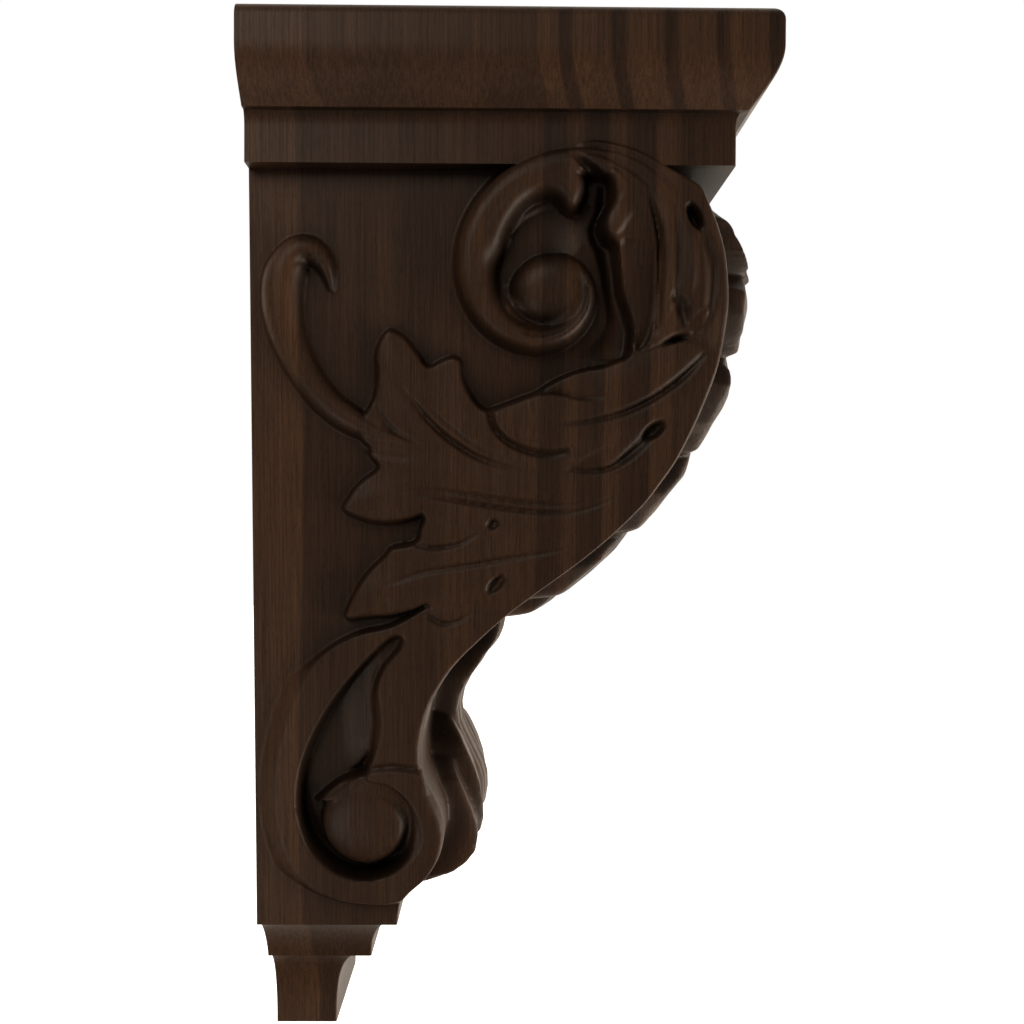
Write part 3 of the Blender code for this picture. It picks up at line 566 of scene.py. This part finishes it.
def carve_scroll(heights, u, v):
    """Lower scroll: outer band, comma-shaped hollow, neck strand and disc."""
    inside = edge_distance(SCROLL_OUTLINE + past_rim(92.0, 153.0), u, v)
    level = SCROLL_RISE + 0.6 * np.exp(-((u - 36) ** 2 + (v - 140) ** 2) / 160)
    facet = 0.6 + 3.2 * ease(v, 101, 109) * (1 - ease(v, 148, 156))
    heights = np.maximum(heights, level * unit(1 + inside / facet))
    over = edge_distance(HOLLOW_OUTLINE, u, v)
    floor = HOLLOW_FLOOR - 2.4 * ease(v, 126, 146) * (1 - ease(u, 25, 33))
    floor += 3.2 * ease(u, 18, 28) * (1 - ease(v, 120, 130))
    floor += 4.6 * ease(u, 28, 34) * ease(v, 128, 134) * (1 - ease(v, 142, 149))
    heights = np.where(over > 0, heights + (floor - heights) * ease(over, 0, 1.5), heights)
    over = edge_distance(NECK_OUTLINE, u, v)
    on_neck = np.maximum(heights, 2.6) + NECK_STEP
    shown = fall_off(over, 0.7) * (1 - ease(v, 142, 150))
    heights = np.where(over > 0, heights + (on_neck - heights) * shown, heights)
    heights = groove(heights, NECK_GROOVE, u, v)
    over_u, over_v = u - DISC_CENTRE[0], DISC_CENTRE[1] - v
    radius = np.hypot(over_u, over_v)
    turn = np.arctan2(over_v, over_u)
    reach = DISC_REACH + ease(np.cos(turn - 0.6), 0.2, 1)
    disc = DISC_RISE * unit(1 - (radius / reach) ** 3.0) ** 0.5 - 1.2
    disc += 0.8 * ease(0.35 * (u - 20) + 0.2 * (138 - v), -2, 3)
    heights = np.where(radius < reach, np.maximum(heights, disc), heights)
    heights = groove(heights, DISC_GROOVE, u, v, 0.5)
    heights = groove(heights, HOLLOW_GROOVE, u, v)
    return heights


def side_relief(u, v):
    """Height of the side carving above the flat side at grid points."""
    heights = np.zeros(u.shape)
    for carve in (carve_scroll, carve_leaf, carve_tendril, carve_head):
        heights = carve(heights, u, v)
    return heights


def blur(heights):
    """Soften every edge a little, as sanding and lacquer do."""
    padded = np.pad(heights, 1, mode="edge")
    heights = 0.25 * padded[:-2, 1:-1] + 0.5 * padded[1:-1, 1:-1] + 0.25 * padded[2:, 1:-1]
    padded = np.pad(heights, 1, mode="edge")
    return 0.25 * padded[1:-1, :-2] + 0.5 * padded[1:-1, 1:-1] + 0.25 * padded[1:-1, 2:]


# Outline of the front leaf where it stands furthest out, as (drop, out), stepped under each lobe
LEAF_PROFILE = [
    (47.1, 150), (49, 151.6), (54, 155.4), (59, 159.4), (64, 163.4), (69, 167), (74, 170), (79, 172.3),
    (79.8, 170.7), (84, 171.6), (89, 171.6), (94, 170.4), (99, 169.2), (104.2, 168.2), (105.2, 164.6),
    (109, 165), (114, 165.8), (119, 165.4), (124, 163.2), (129, 160.2), (134, 157.4), (138.6, 154.8),
    (139.8, 152.2), (144, 151.6), (149, 149.8), (154, 145.4), (159, 141), (164, 137), (168.4, 133.2),
    (169.8, 128.6), (174, 125.5), (179, 120.8), (184, 115), (189, 109.6), (193.4, 105), (194.8, 100.6),
    (198.4, 98.2), (202, 93.2), (205, 86.4),
]
LOBE_ENDS = [79.4, 104.7, 139.2, 169.1, 194.1, 205.0]
LEAF_HALF_WIDTH = [
    (47, 54), (60, 57), (74, 59.5), (79, 57), (80.5, 52), (92, 56.5), (101, 57), (104.6, 53.5), (106, 48.5),
    (120, 53.5), (133, 52.5), (139, 49), (141, 44), (155, 48.5), (164, 47.5), (169, 44), (171, 39.5),
    (182, 43.5), (190, 42), (194, 38.5), (196, 34.5), (202, 34), (205, 28),
]
# How full a lobe stands across it, as (share of its half width, share of its rise)
LEAF_FULLNESS = [(0, 0.86), (0.1, 0.80), (0.2, 0.78), (0.34, 0.82), (0.5, 0.9), (0.66, 0.98),
                 (0.8, 1), (0.9, 0.94), (1, 0.80)]
LEAF_CREST = 46.0
LOBE_SLANT = 13.0
RIB_PITCH = 8.4
RIB_RISE = 1.3
MIDRIB_RISE = 2.0
NOTCH = 2.4

# Lower leaf, wrapped round the lower scroll: each lobe as (half width, dip of its middle, outline)
LOWER_LOBES = [
    (15, -1.2, [
        (203, 85.6), (208, 84.6), (212, 83), (215, 80.8), (217.6, 78.4), (221, 76.4),
        (227, 72), (232.5, 69.2), (238, 68.2), (244, 69), (249, 71.2), (255, 74.2),
        (261, 77), (266, 78.4), (272, 78.6), (278, 77.6), (282, 75.4), (285, 70),
        (287, 60)]),
    (28.5, 3.4, [
        (234, 55), (236.8, 59.4), (240.5, 65.7), (246, 69.6), (252, 72.6), (257, 74.8),
        (263, 76.8), (270, 78), (276, 78.2), (281, 77), (285, 73), (288, 66),
        (289.5, 56)]),
    (39, 4.6, [
        (244, 53), (246, 57), (249.3, 64.3), (256, 68.2), (263.4, 71.7), (270, 74.4),
        (275, 76), (279, 76.4), (285, 75.4), (289.6, 72), (293.4, 67.2), (296, 60),
        (298.6, 49)]),
]


def front_out(across, drop, reach):
    """Distance from the wall of the carved front, beside the middle line."""
    x = np.abs(across)
    slant = np.where(x < LEAF_CREST, LOBE_SLANT * unit(1 - x / LEAF_CREST) ** 1.2,
                     0.085 * (x - LEAF_CREST) ** 2)
    slant = slant * ease(drop, 47, 64)
    notch = (1 - np.abs(np.sin(math.pi * x / RIB_PITCH))) ** 2
    moved = drop + slant + NOTCH * notch * ease(drop, 50, 66) * ease(x, 2, 8)
    ends = np.array(LOBE_ENDS)
    lobe = np.clip(np.searchsorted(ends, moved), 0, len(ends) - 1)
    above = ends[lobe] - moved
    rib = np.abs(np.sin(math.pi * (x + 0.42 * above) / RIB_PITCH))
    stood = table(LEAF_PROFILE, moved) - np.interp(moved, *RIM_TABLE)
    stood = np.clip(stood, 0.0, 16.0) * (moved < ends[-1])
    half = table(LEAF_HALF_WIDTH, moved)
    share = np.clip(x / half, 0.0, 1.4)
    fullness = table(LEAF_FULLNESS, share)
    near_end = 1 - ease(above, 2, 16)
    ribs = (RIB_RISE * rib ** 0.8 - 1.0) * ease(x, 4, 9) * (0.5 + 0.5 * near_end)
    ribs = ribs * (1 - 0.6 * ease(x / half, 0.7, 1)) * ease(above, 0, 1.4)
    midrib = MIDRIB_RISE * unit(1 - (x / 3.6) ** 2) ** 0.6
    midrib = midrib - 1.3 * np.exp(-((x - 4.8) / 1.4) ** 2)
    veins = (ribs + midrib) * ease(stood, 2, 5)
    wall = 1 - ease(x - half, -1.4, 1.2)
    result = np.maximum(reach, reach + (stood * fullness + veins) * wall)
    for width, dip, rows in LOWER_LOBES:
        low, high = rows[0][0], rows[-1][0]
        down = unit((drop - low) / (high - low))
        edge = width * (1 - 0.10 * (2.0 * down - 1.0) ** 2) * (1 - 0.5 * (1 - ease(down, 0, 0.3)))
        rounded = np.sqrt(unit(1 - (x / edge) ** 6))
        inner = unit(x / edge)
        lobe_out = table(rows, drop - 2.0 * (1 - rounded))
        if dip > 0.0:
            lobe_out = lobe_out - dip * (1 - inner) ** 1.2
        else:
            lobe_out = lobe_out + dip * inner ** 2 + 0.7 * np.exp(-(x / 1.6) ** 2)
        lobe_out = lobe_out - 0.8 * np.exp(-((x - 0.62 * edge) / 0.9) ** 2) * (drop < high - 6.0)
        shut = 1 - ease(x - edge, -1.2, 1.4)
        within = (drop > low) & (drop < high)
        result = np.where(within, np.maximum(result, reach + (lobe_out - reach) * shut), result)
    return result


def crown_rows():
    """(drop, offset from the band) down the crown moulding."""
    rows = []
    for index in range(ROUND_STEPS + 1):
        angle = math.pi / 2 * (1 - index / ROUND_STEPS)
        rows.append((CROWN_TOP_ROUND * (1 - math.sin(angle)),
                     CROWN_OVERHANG - CROWN_TOP_ROUND * (1 - math.cos(angle))))
    sweep = CROWN_HEIGHT - CROWN_FACE_HEIGHT
    corners = [(CROWN_FACE_HEIGHT, CROWN_OVERHANG),
               (CROWN_FACE_HEIGHT + 0.42 * sweep, CROWN_OVERHANG),
               (CROWN_HEIGHT - 0.3 * sweep, LIP_OVERHANG + 0.45 * (CROWN_OVERHANG - LIP_OVERHANG)),
               (CROWN_HEIGHT, LIP_OVERHANG)]
    for index in range(CROWN_STEPS + 1):
        t = index / CROWN_STEPS
        weights = ((1 - t) ** 3, 3 * t * (1 - t) ** 2, 3 * t ** 2 * (1 - t), t ** 3)
        rows.append(tuple(sum(w * corner[axis] for w, corner in zip(weights, corners))
                          for axis in range(2)))
    rows.append((CROWN_HEIGHT + LEDGE_FALL, LIP_COVE_REACH))
    rows.append((CROWN_HEIGHT + 0.35 * LIP_COVE_HEIGHT, 0.4 * LIP_COVE_REACH))
    rows.append((CROWN_HEIGHT + 0.7 * LIP_COVE_HEIGHT, 0.1 * LIP_COVE_REACH))
    rows.append((CROWN_HEIGHT + LIP_COVE_HEIGHT, 0.0))
    return rows


def cove(start, end, fullness):
    """Concave quarter curve of (size, drop) that leaves start level and ends upright."""
    result = []
    for index in range(COVE_STEPS + 1):
        angle = math.pi / 2 * index / COVE_STEPS
        result.append((end[0] + (start[0] - end[0]) * (1 - math.sin(angle)) ** fullness,
                       start[1] + (end[1] - start[1]) * (1 - math.cos(angle))))
    return result


# Front edge in millimetres, as drops and outs
EDGE = np.array(smooth(FRONT_EDGE, 6))
RIM_TABLE = (BODY_DROP + EDGE[:, 1] * DOWN_UNIT, EDGE[:, 0] * UNIT)


def side_half_width(drop):
    """Half width of the flat tapering side."""
    share = (drop - BODY_DROP) / (FOOT_DROP - BODY_DROP)
    return BODY_TOP_HALF_WIDTH + (BODY_FOOT_HALF_WIDTH - BODY_TOP_HALF_WIDTH) * share


def skin_rows():
    """(drop, reach, half width, carved) of every row of the skin, from the top down."""
    rows = [(drop, BAND_REACH + offset, BAND_HALF_WIDTH + offset, False)
            for drop, offset in crown_rows()]
    first = math.ceil((CROWN_HEIGHT + LIP_COVE_HEIGHT + 0.2) / STEP) * STEP
    for drop in np.arange(first, BODY_DROP - 0.1, STEP):
        rows.append((float(drop), BAND_REACH, BAND_HALF_WIDTH, True))
    rows.append((BODY_DROP, BAND_REACH, BAND_HALF_WIDTH, True))
    rows.append((BODY_DROP + LEDGE_FALL, float(RIM_TABLE[1][0]), BODY_TOP_HALF_WIDTH, True))
    first = math.ceil((BODY_DROP + LEDGE_FALL + 0.2) / STEP) * STEP
    for drop in np.arange(first, FOOT_DROP - 0.1, STEP):
        rows.append((float(drop), float(np.interp(drop, *RIM_TABLE)), side_half_width(drop), True))
    body_reach = float(RIM_TABLE[1][-1])
    rows.append((FOOT_DROP, body_reach, BODY_FOOT_HALF_WIDTH, False))
    upper, lower = FOOT_DROP + LEDGE_FALL, STEP_DROP + LEDGE_FALL
    reaches = (cove((body_reach - FOOT_LEDGE, upper), (STEP_REACH, STEP_DROP), STEP_FULLNESS[0])
               + cove((STEP_REACH - FOOT_LEDGE, lower), (FOOT_REACH, HEIGHT), FOOT_FULLNESS[0]))
    widths = (cove((BODY_FOOT_HALF_WIDTH - FOOT_LEDGE, upper), (STEP_HALF_WIDTH, STEP_DROP),
                   STEP_FULLNESS[1])
              + cove((STEP_HALF_WIDTH - FOOT_LEDGE, lower), (FOOT_HALF_WIDTH, HEIGHT),
                     FOOT_FULLNESS[1]))
    rows += [(drop, reach, width, False) for (reach, drop), (width, _) in zip(reaches, widths)]
    return rows


def side_columns(rows, outs):
    """Side of every row up to its bevelled rim, as (half width, out)."""
    grid_drops = np.arange(30.0, 308.0, STEP)
    grid_u, grid_v = np.meshgrid(outs / UNIT, (grid_drops - BODY_DROP) / DOWN_UNIT)
    relief = blur(side_relief(grid_u, grid_v))
    arc = np.radians(BEVEL_ANGLES)
    places = []
    for drop, reach, width, is_carved in rows:
        bevel = table(RIM_BEVEL, (drop - BODY_DROP) / DOWN_UNIT) if is_carved else PLAIN_BEVEL
        out = np.concatenate([np.minimum(outs, reach - bevel), reach - bevel * (1 - np.sin(arc))])
        side = np.full(out.shape, width)
        if is_carved:
            place = np.clip((drop - grid_drops[0]) / STEP, 0.0, len(grid_drops) - 1.001)
            low = int(place)
            part = place - low
            raised = np.interp(out, outs, relief[low] * (1 - part) + relief[low + 1] * part)
            raised = raised + side_half_width(drop)
            side = np.maximum(width, raised) if drop <= BODY_DROP else raised
        side[len(outs):] -= bevel * (1 - np.cos(arc))
        places.append(np.stack([side, -out], axis=1))
    return np.array(places)


def front_columns(rows, corners, shares):
    """Front of every row from beside the rim to the middle, as (across, out)."""
    drops = np.array([row[0] for row in rows])[:, None]
    reaches = np.array([row[1] for row in rows])[:, None]
    carved = np.array([row[3] and row[0] > BODY_DROP for row in rows])[:, None]
    across = corners[:, None] * shares[None, :]
    stands = np.where(carved, front_out(across, drops, reaches) - reaches, 0.0)
    return np.stack([across, -(reaches + blur(stands) * carved)], axis=2)


def half_skin():
    """Vertices and faces of the right half, from its back edge to the middle of the front."""
    rows = skin_rows()
    outs = np.arange(0.0, BAND_REACH + CROWN_OVERHANG + 0.8, STEP)
    shares = np.linspace(1.0, 0.0, int(COLUMNS_SPAN / STEP) + 1)[1:]
    sides = side_columns(rows, outs)
    fronts = front_columns(rows, sides[:, -1, 0], shares)
    places = np.concatenate([sides, fronts], axis=1)
    row_count, column_count = places.shape[:2]
    heights = np.repeat(HEIGHT / 2 - np.array([row[0] for row in rows]), column_count)
    verts = np.concatenate([places.reshape(-1, 2), heights[:, None]], axis=1)
    first = (np.arange(row_count - 1)[:, None] * column_count + np.arange(column_count - 1)).ravel()
    faces = np.stack([first, first + column_count, first + column_count + 1, first + 1], axis=1)
    return verts, faces, row_count, column_count


def make_skin():
    """The whole bracket as one closed mesh."""
    verts, faces, row_count, column_count = half_skin()
    mesh = bpy.data.meshes.new("carved_corbel")
    mesh.from_pydata(verts.tolist(), [], faces.tolist())
    shape = bmesh.new()
    shape.from_mesh(mesh)
    shape.verts.ensure_lookup_table()
    top = [shape.verts[index] for index in range(column_count)]
    bottom = [shape.verts[(row_count - 1) * column_count + index] for index in range(column_count)]
    back = [shape.verts[row * column_count] for row in range(row_count)]
    top_point = shape.verts.new((0.0, 0.0, HEIGHT / 2))
    bottom_point = shape.verts.new((0.0, 0.0, -HEIGHT / 2))
    shape.faces.new(top + [top_point])
    shape.faces.new([bottom_point] + bottom[::-1])
    shape.faces.new([top_point] + back + [bottom_point])
    bmesh.ops.remove_doubles(shape, verts=shape.verts, dist=0.04)
    bmesh.ops.dissolve_degenerate(shape, edges=shape.edges, dist=0.01)
    bmesh.ops.recalc_face_normals(shape, faces=shape.faces)
    bmesh.ops.triangulate(shape, faces=shape.faces)
    shape.to_mesh(mesh)
    shape.free()
    thing = bpy.data.objects.new("carved_corbel", mesh)
    bpy.context.scene.collection.objects.link(thing)
    lighten(thing, TRIANGLES / 2)
    mirror_whole(thing)
    thing.data.transform(Matrix.Scale(MILLIMETRE, 4))
    even = thing.modifiers.new("even_shading", "WEIGHTED_NORMAL")
    even.keep_sharp = True
    return thing


def lighten(thing, triangles):
    """Fewer triangles where the surface is flat."""
    step = thing.modifiers.new("lighten", "DECIMATE")
    step.ratio = min(1.0, triangles / max(len(thing.data.polygons), 1))
    bpy.context.view_layer.update()
    depsgraph = bpy.context.evaluated_depsgraph_get()
    mesh = bpy.data.meshes.new_from_object(thing.evaluated_get(depsgraph))
    thing.modifiers.remove(step)
    thing.data = mesh


def mirror_whole(thing):
    """Add the left half and join it along the middle."""
    shape = bmesh.new()
    shape.from_mesh(thing.data)
    for edge in shape.edges:
        if len(edge.link_faces) == 1:
            for vertex in edge.verts:
                vertex.co.x = 0.0
    again = bmesh.ops.duplicate(shape, geom=shape.verts[:] + shape.edges[:] + shape.faces[:])
    copied = [part for part in again["geom"] if isinstance(part, bmesh.types.BMVert)]
    for vertex in copied:
        vertex.co.x = -vertex.co.x
    flipped = [part for part in again["geom"] if isinstance(part, bmesh.types.BMFace)]
    bmesh.ops.reverse_faces(shape, faces=flipped)
    bmesh.ops.remove_doubles(shape, verts=[v for v in shape.verts if abs(v.co.x) < 1e-4], dist=1e-3)
    for face in shape.faces:
        face.smooth = True
    for edge in shape.edges:
        if len(edge.link_faces) == 2 and edge.calc_face_angle(0.0) > SHARP_ANGLE:
            edge.smooth = False
    shape.to_mesh(thing.data)
    shape.free()


# Staves the block is glued from, as (out in grid units, how pale the wood is there)
BODY_STAVES = [(0.0, 0.60), (7.0, 0.68), (10.2, 0.86), (10.8, 0.20), (18.0, 0.14), (27.0, 0.24),
               (34.0, 0.16), (43.5, 0.28), (60.6, 0.42), (61.0, 0.0), (65.6, 0.04), (66.0, 0.44),
               (68.8, 0.40), (69.2, 0.04), (74.2, 0.0), (74.6, 0.62), (77.6, 0.54), (78.2, 0.06),
               (83.8, 0.02), (84.4, 0.50), (88.6, 0.42), (89.2, 0.08), (97.0, 0.24)]
CROWN_STAVES = [(0.0, 0.54), (9.0, 0.66), (13.6, 0.82), (14.4, 0.26), (40.0, 0.34), (59.4, 0.26),
                (59.8, 0.70)]
# From here on the crown's staves repeat: a dark one of this width in every pitch
CROWN_REPEAT = 63.2
CROWN_PITCH = 10.4
CROWN_DARK = 2.8
CROWN_LEAN = 0.45
STAVE_SPAN = 1.1
PALE_WOOD = (0.0860, 0.0410, 0.0215, 1.0)
DARK_WOOD = (0.0260, 0.0135, 0.0085, 1.0)
# How far round a point its nooks are looked for, where shade is painted darker into the wood's colour
PAINTED_SHADE_REACH = 0.024
WANDER = 0.006
BROAD_SHARE = 0.18
GRAIN_SHARE = 0.75
PORE_SHARE = 0.45
GLOSS = 0.17


def wood_material():
    """Dark walnut stain over upright staves: fine grain, satin lacquer, and painted shade darkening the
    nooks.
    """
    material = bpy.data.materials.new("walnut_stain")
    material.use_nodes = True
    nodes, links = material.node_tree.nodes, material.node_tree.links
    shader = nodes["Principled BSDF"]
    where = nodes.new("ShaderNodeTexCoord").outputs["Object"]

    def noise(scale, detail, roughness=0.5):
        mapping = nodes.new("ShaderNodeMapping")
        mapping.inputs["Scale"].default_value = scale
        links.new(where, mapping.inputs["Vector"])
        made = nodes.new("ShaderNodeTexNoise")
        made.inputs["Scale"].default_value = 1.0
        made.inputs["Detail"].default_value = detail
        made.inputs["Roughness"].default_value = roughness
        links.new(mapping.outputs[0], made.inputs["Vector"])
        return made.outputs["Fac"]

    def ramp(value, stops):
        made = nodes.new("ShaderNodeValToRGB")
        while len(made.color_ramp.elements) < len(stops):
            made.color_ramp.elements.new(0.5)
        for element, (position, colour) in zip(made.color_ramp.elements, stops):
            element.position = position
            element.color = colour
        links.new(value, made.inputs[0])
        return made.outputs[0]

    def maths(kind, first, second):
        made = nodes.new("ShaderNodeMath")
        made.operation = kind
        for socket, value in zip(made.inputs, (first, second)):
            if isinstance(value, float):
                socket.default_value = value
            else:
                links.new(value, socket)
        return made.outputs[0]

    def mix(kind, factor, first, second):
        made = nodes.new("ShaderNodeMix")
        made.data_type = "RGBA"
        made.blend_type = kind
        for index, value in ((0, factor), (6, first), (7, second)):
            if isinstance(value, (float, tuple)):
                made.inputs[index].default_value = value
            else:
                links.new(value, made.inputs[index])
        return made.outputs[2]

    def grey(value):
        return (value, value, value, 1.0)

    def staves(out, rows):
        share = maths("DIVIDE", out, STAVE_SPAN * BODY_REACH * MILLIMETRE)
        return ramp(share, [(u / 100.0 / STAVE_SPAN, grey(paleness)) for u, paleness in rows])

    split = nodes.new("ShaderNodeSeparateXYZ")
    links.new(where, split.inputs[0])
    wander = maths("MULTIPLY", maths("SUBTRACT", noise((3.0, 3.0, 5.0), 2.0), 0.5), WANDER)
    out = maths("SUBTRACT", wander, split.outputs["Y"])
    across = maths("ABSOLUTE", split.outputs["X"], 0.0)
    widest = (BAND_HALF_WIDTH + CROWN_OVERHANG) * MILLIMETRE
    lean = maths("MULTIPLY", maths("SUBTRACT", across, widest), CROWN_LEAN)
    crown_low = (HEIGHT / 2 - CROWN_HEIGHT) * MILLIMETRE
    in_crown = maths("GREATER_THAN", split.outputs["Z"], crown_low)
    crown = staves(maths("ADD", out, lean), CROWN_STAVES + [
        (CROWN_REPEAT + CROWN_PITCH * index + place, paleness)
        for index in range(5)
        for place, paleness in ((0.0, 0.58), (0.5, 0.0), (CROWN_DARK, 0.06), (CROWN_DARK + 0.6, 0.60))])
    stave = mix("MIX", in_crown, staves(out, BODY_STAVES), crown)
    broad = ramp(noise((30.0, 95.0, 2.2), 2.0), [(0.35, grey(0.0)), (0.65, grey(1.0))])
    paleness = mix("MIX", BROAD_SHARE, stave, broad)
    base = mix("MIX", paleness, DARK_WOOD, PALE_WOOD)
    fine = noise((700.0, 1500.0, 16.0), 3.0, 0.6)
    grain = ramp(fine, [(0.30, grey(0.50)), (0.70, grey(1.40))])
    colour = mix("MULTIPLY", GRAIN_SHARE, base, grain)
    pores = ramp(noise((2300.0, 2600.0, 300.0), 1.0), [(0.36, grey(0.5)), (0.45, grey(1.0))])
    colour = mix("MULTIPLY", PORE_SHARE, colour, pores)
    # Painted shade: ambient occlusion multiplies the colour darker in nooks and recesses, where shade falls
    nook_shade_node = nodes.new("ShaderNodeAmbientOcclusion")
    nook_shade_node.samples = 8
    nook_shade_node.inputs["Distance"].default_value = PAINTED_SHADE_REACH
    painted_shade = ramp(nook_shade_node.outputs["AO"], [(0.2, grey(0.08)), (0.6, grey(0.3)), (0.98, grey(1.0))])
    colour = mix("MULTIPLY", 1.0, colour, painted_shade)
    links.new(colour, shader.inputs["Base Color"])
    links.new(ramp(fine, [(0.2, grey(0.52)), (0.8, grey(0.42))]), shader.inputs["Roughness"])
    shader.inputs["Specular IOR Level"].default_value = GLOSS
    bump = nodes.new("ShaderNodeBump")
    bump.inputs["Strength"].default_value = 0.10
    bump.inputs["Distance"].default_value = 0.0003
    links.new(fine, bump.inputs["Height"])
    links.new(bump.outputs[0], shader.inputs["Normal"])
    return material


WARM_LIGHT = (1.0, 0.91, 0.78)
WHITE = (1.0, 1.0, 1.0, 1.0)
FLOOR_HALF_SIDE = 6.0
FLOOR_GAP = 0.5
# Light from the room, from below and from above, and from the white backdrop on the far side,
# which edges and undersides reflect
ROOM_BELOW = 0.02
ROOM_ABOVE = 0.17
BACKDROP = 1.5
# Studio lights as (name, place, what it is aimed at, size, watts)
LIGHTS = [
    ("front_light", (-0.15, -0.95, -0.40), (0.0, -0.08, 0.0), (0.6, 0.8), 15.0),
    ("side_light", (-0.80, 0.30, 0.58), (0.0, -0.08, 0.02), (0.5, 0.5), 3.6),
    ("low_light", (-0.55, 0.35, -0.38), (0.0, -0.04, -0.16), (0.3, 0.3), 1.3),
]
CAMERA_PLACE = (-0.4030, -0.0856, 0.0218)
CAMERA_LENS = 35.156
CAMERA_YAW = math.radians(-0.4)
CAMERA_PITCH = math.radians(-0.8)
CAMERA_ROLL = math.radians(0.3)


def area_light(name, place, target, size, watts):
    """Soft warm rectangular studio light aimed at a point."""
    data = bpy.data.lights.new(name, "AREA")
    data.shape = "RECTANGLE"
    data.size, data.size_y = size
    data.energy = watts
    data.color = WARM_LIGHT
    light = bpy.data.objects.new(name, data)
    light.location = place
    light.rotation_mode = "QUATERNION"
    light.rotation_quaternion = (Vector(target) - Vector(place)).to_track_quat("-Z", "Y")
    bpy.context.scene.collection.objects.link(light)


def set_floor():
    """White paper floor that the wood doesn't reflect."""
    paper = bpy.data.materials.new("white_paper")
    paper.use_nodes = True
    shader = paper.node_tree.nodes["Principled BSDF"]
    shader.inputs["Base Color"].default_value = (0.9, 0.9, 0.9, 1.0)
    shader.inputs["Roughness"].default_value = 0.8
    shader.inputs["Specular IOR Level"].default_value = 0.1
    shader.inputs["Emission Color"].default_value = WHITE
    shader.inputs["Emission Strength"].default_value = 1.0
    half, low = FLOOR_HALF_SIDE, -HEIGHT / 2 * MILLIMETRE - FLOOR_GAP
    mesh = bpy.data.meshes.new("floor")
    corners = [(-half, -half, low), (half, -half, low), (half, half, low), (-half, half, low)]
    mesh.from_pydata(corners, [], [(0, 1, 2, 3)])
    mesh.materials.append(paper)
    floor = bpy.data.objects.new("floor", mesh)
    bpy.context.scene.collection.objects.link(floor)
    floor.visible_diffuse = False
    floor.visible_glossy = False


def set_world():
    """Dim warm room with a white backdrop on the far side of the bracket, seen as plain white."""
    world = bpy.data.worlds.new("studio")
    world.use_nodes = True
    nodes, links = world.node_tree.nodes, world.node_tree.links
    aim = nodes.new("ShaderNodeTexCoord")
    parts = nodes.new("ShaderNodeSeparateXYZ")
    links.new(aim.outputs["Generated"], parts.inputs[0])
    total = nodes.new("ShaderNodeMath")
    for index, (axis, low, high, dim, bright) in enumerate((
            ("Z", -1.0, 1.0, ROOM_BELOW, ROOM_ABOVE), ("X", 0.0, 0.4, 0.0, BACKDROP))):
        spread = nodes.new("ShaderNodeMapRange")
        spread.inputs["From Min"].default_value = low
        spread.inputs["From Max"].default_value = high
        spread.inputs["To Min"].default_value = dim
        spread.inputs["To Max"].default_value = bright
        links.new(parts.outputs[axis], spread.inputs["Value"])
        links.new(spread.outputs[0], total.inputs[index])
    room = nodes["Background"]
    room.inputs["Color"].default_value = (*WARM_LIGHT, 1.0)
    links.new(total.outputs[0], room.inputs["Strength"])
    seen = nodes.new("ShaderNodeBackground")
    seen.inputs["Color"].default_value = WHITE
    path = nodes.new("ShaderNodeLightPath")
    join = nodes.new("ShaderNodeMixShader")
    links.new(path.outputs["Is Camera Ray"], join.inputs["Fac"])
    links.new(room.outputs[0], join.inputs[1])
    links.new(seen.outputs[0], join.inputs[2])
    links.new(join.outputs[0], nodes["World Output"].inputs["Surface"])
    bpy.context.scene.world = world


def set_camera():
    """The photo's view, square on to the side from close by."""
    data = bpy.data.cameras.new("camera")
    data.lens = CAMERA_LENS
    data.sensor_width = 36.0
    data.clip_start = 0.01
    camera = bpy.data.objects.new("camera", data)
    camera.location = CAMERA_PLACE
    camera.rotation_mode = "QUATERNION"
    forward = Vector((math.cos(CAMERA_PITCH) * math.cos(CAMERA_YAW),
                      math.cos(CAMERA_PITCH) * math.sin(CAMERA_YAW), math.sin(CAMERA_PITCH)))
    roll = Matrix.Rotation(CAMERA_ROLL, 4, "Z").to_quaternion()
    camera.rotation_quaternion = forward.to_track_quat("-Z", "Y") @ roll
    bpy.context.scene.collection.objects.link(camera)
    bpy.context.scene.camera = camera


corbel = make_skin()
corbel.data.materials.append(wood_material())
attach(corbel, "root")
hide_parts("corbel")
bpy.context.scene.view_settings.view_transform = "Standard"
set_floor()
set_world()
set_camera()
for light_row in LIGHTS:
    area_light(*light_row)
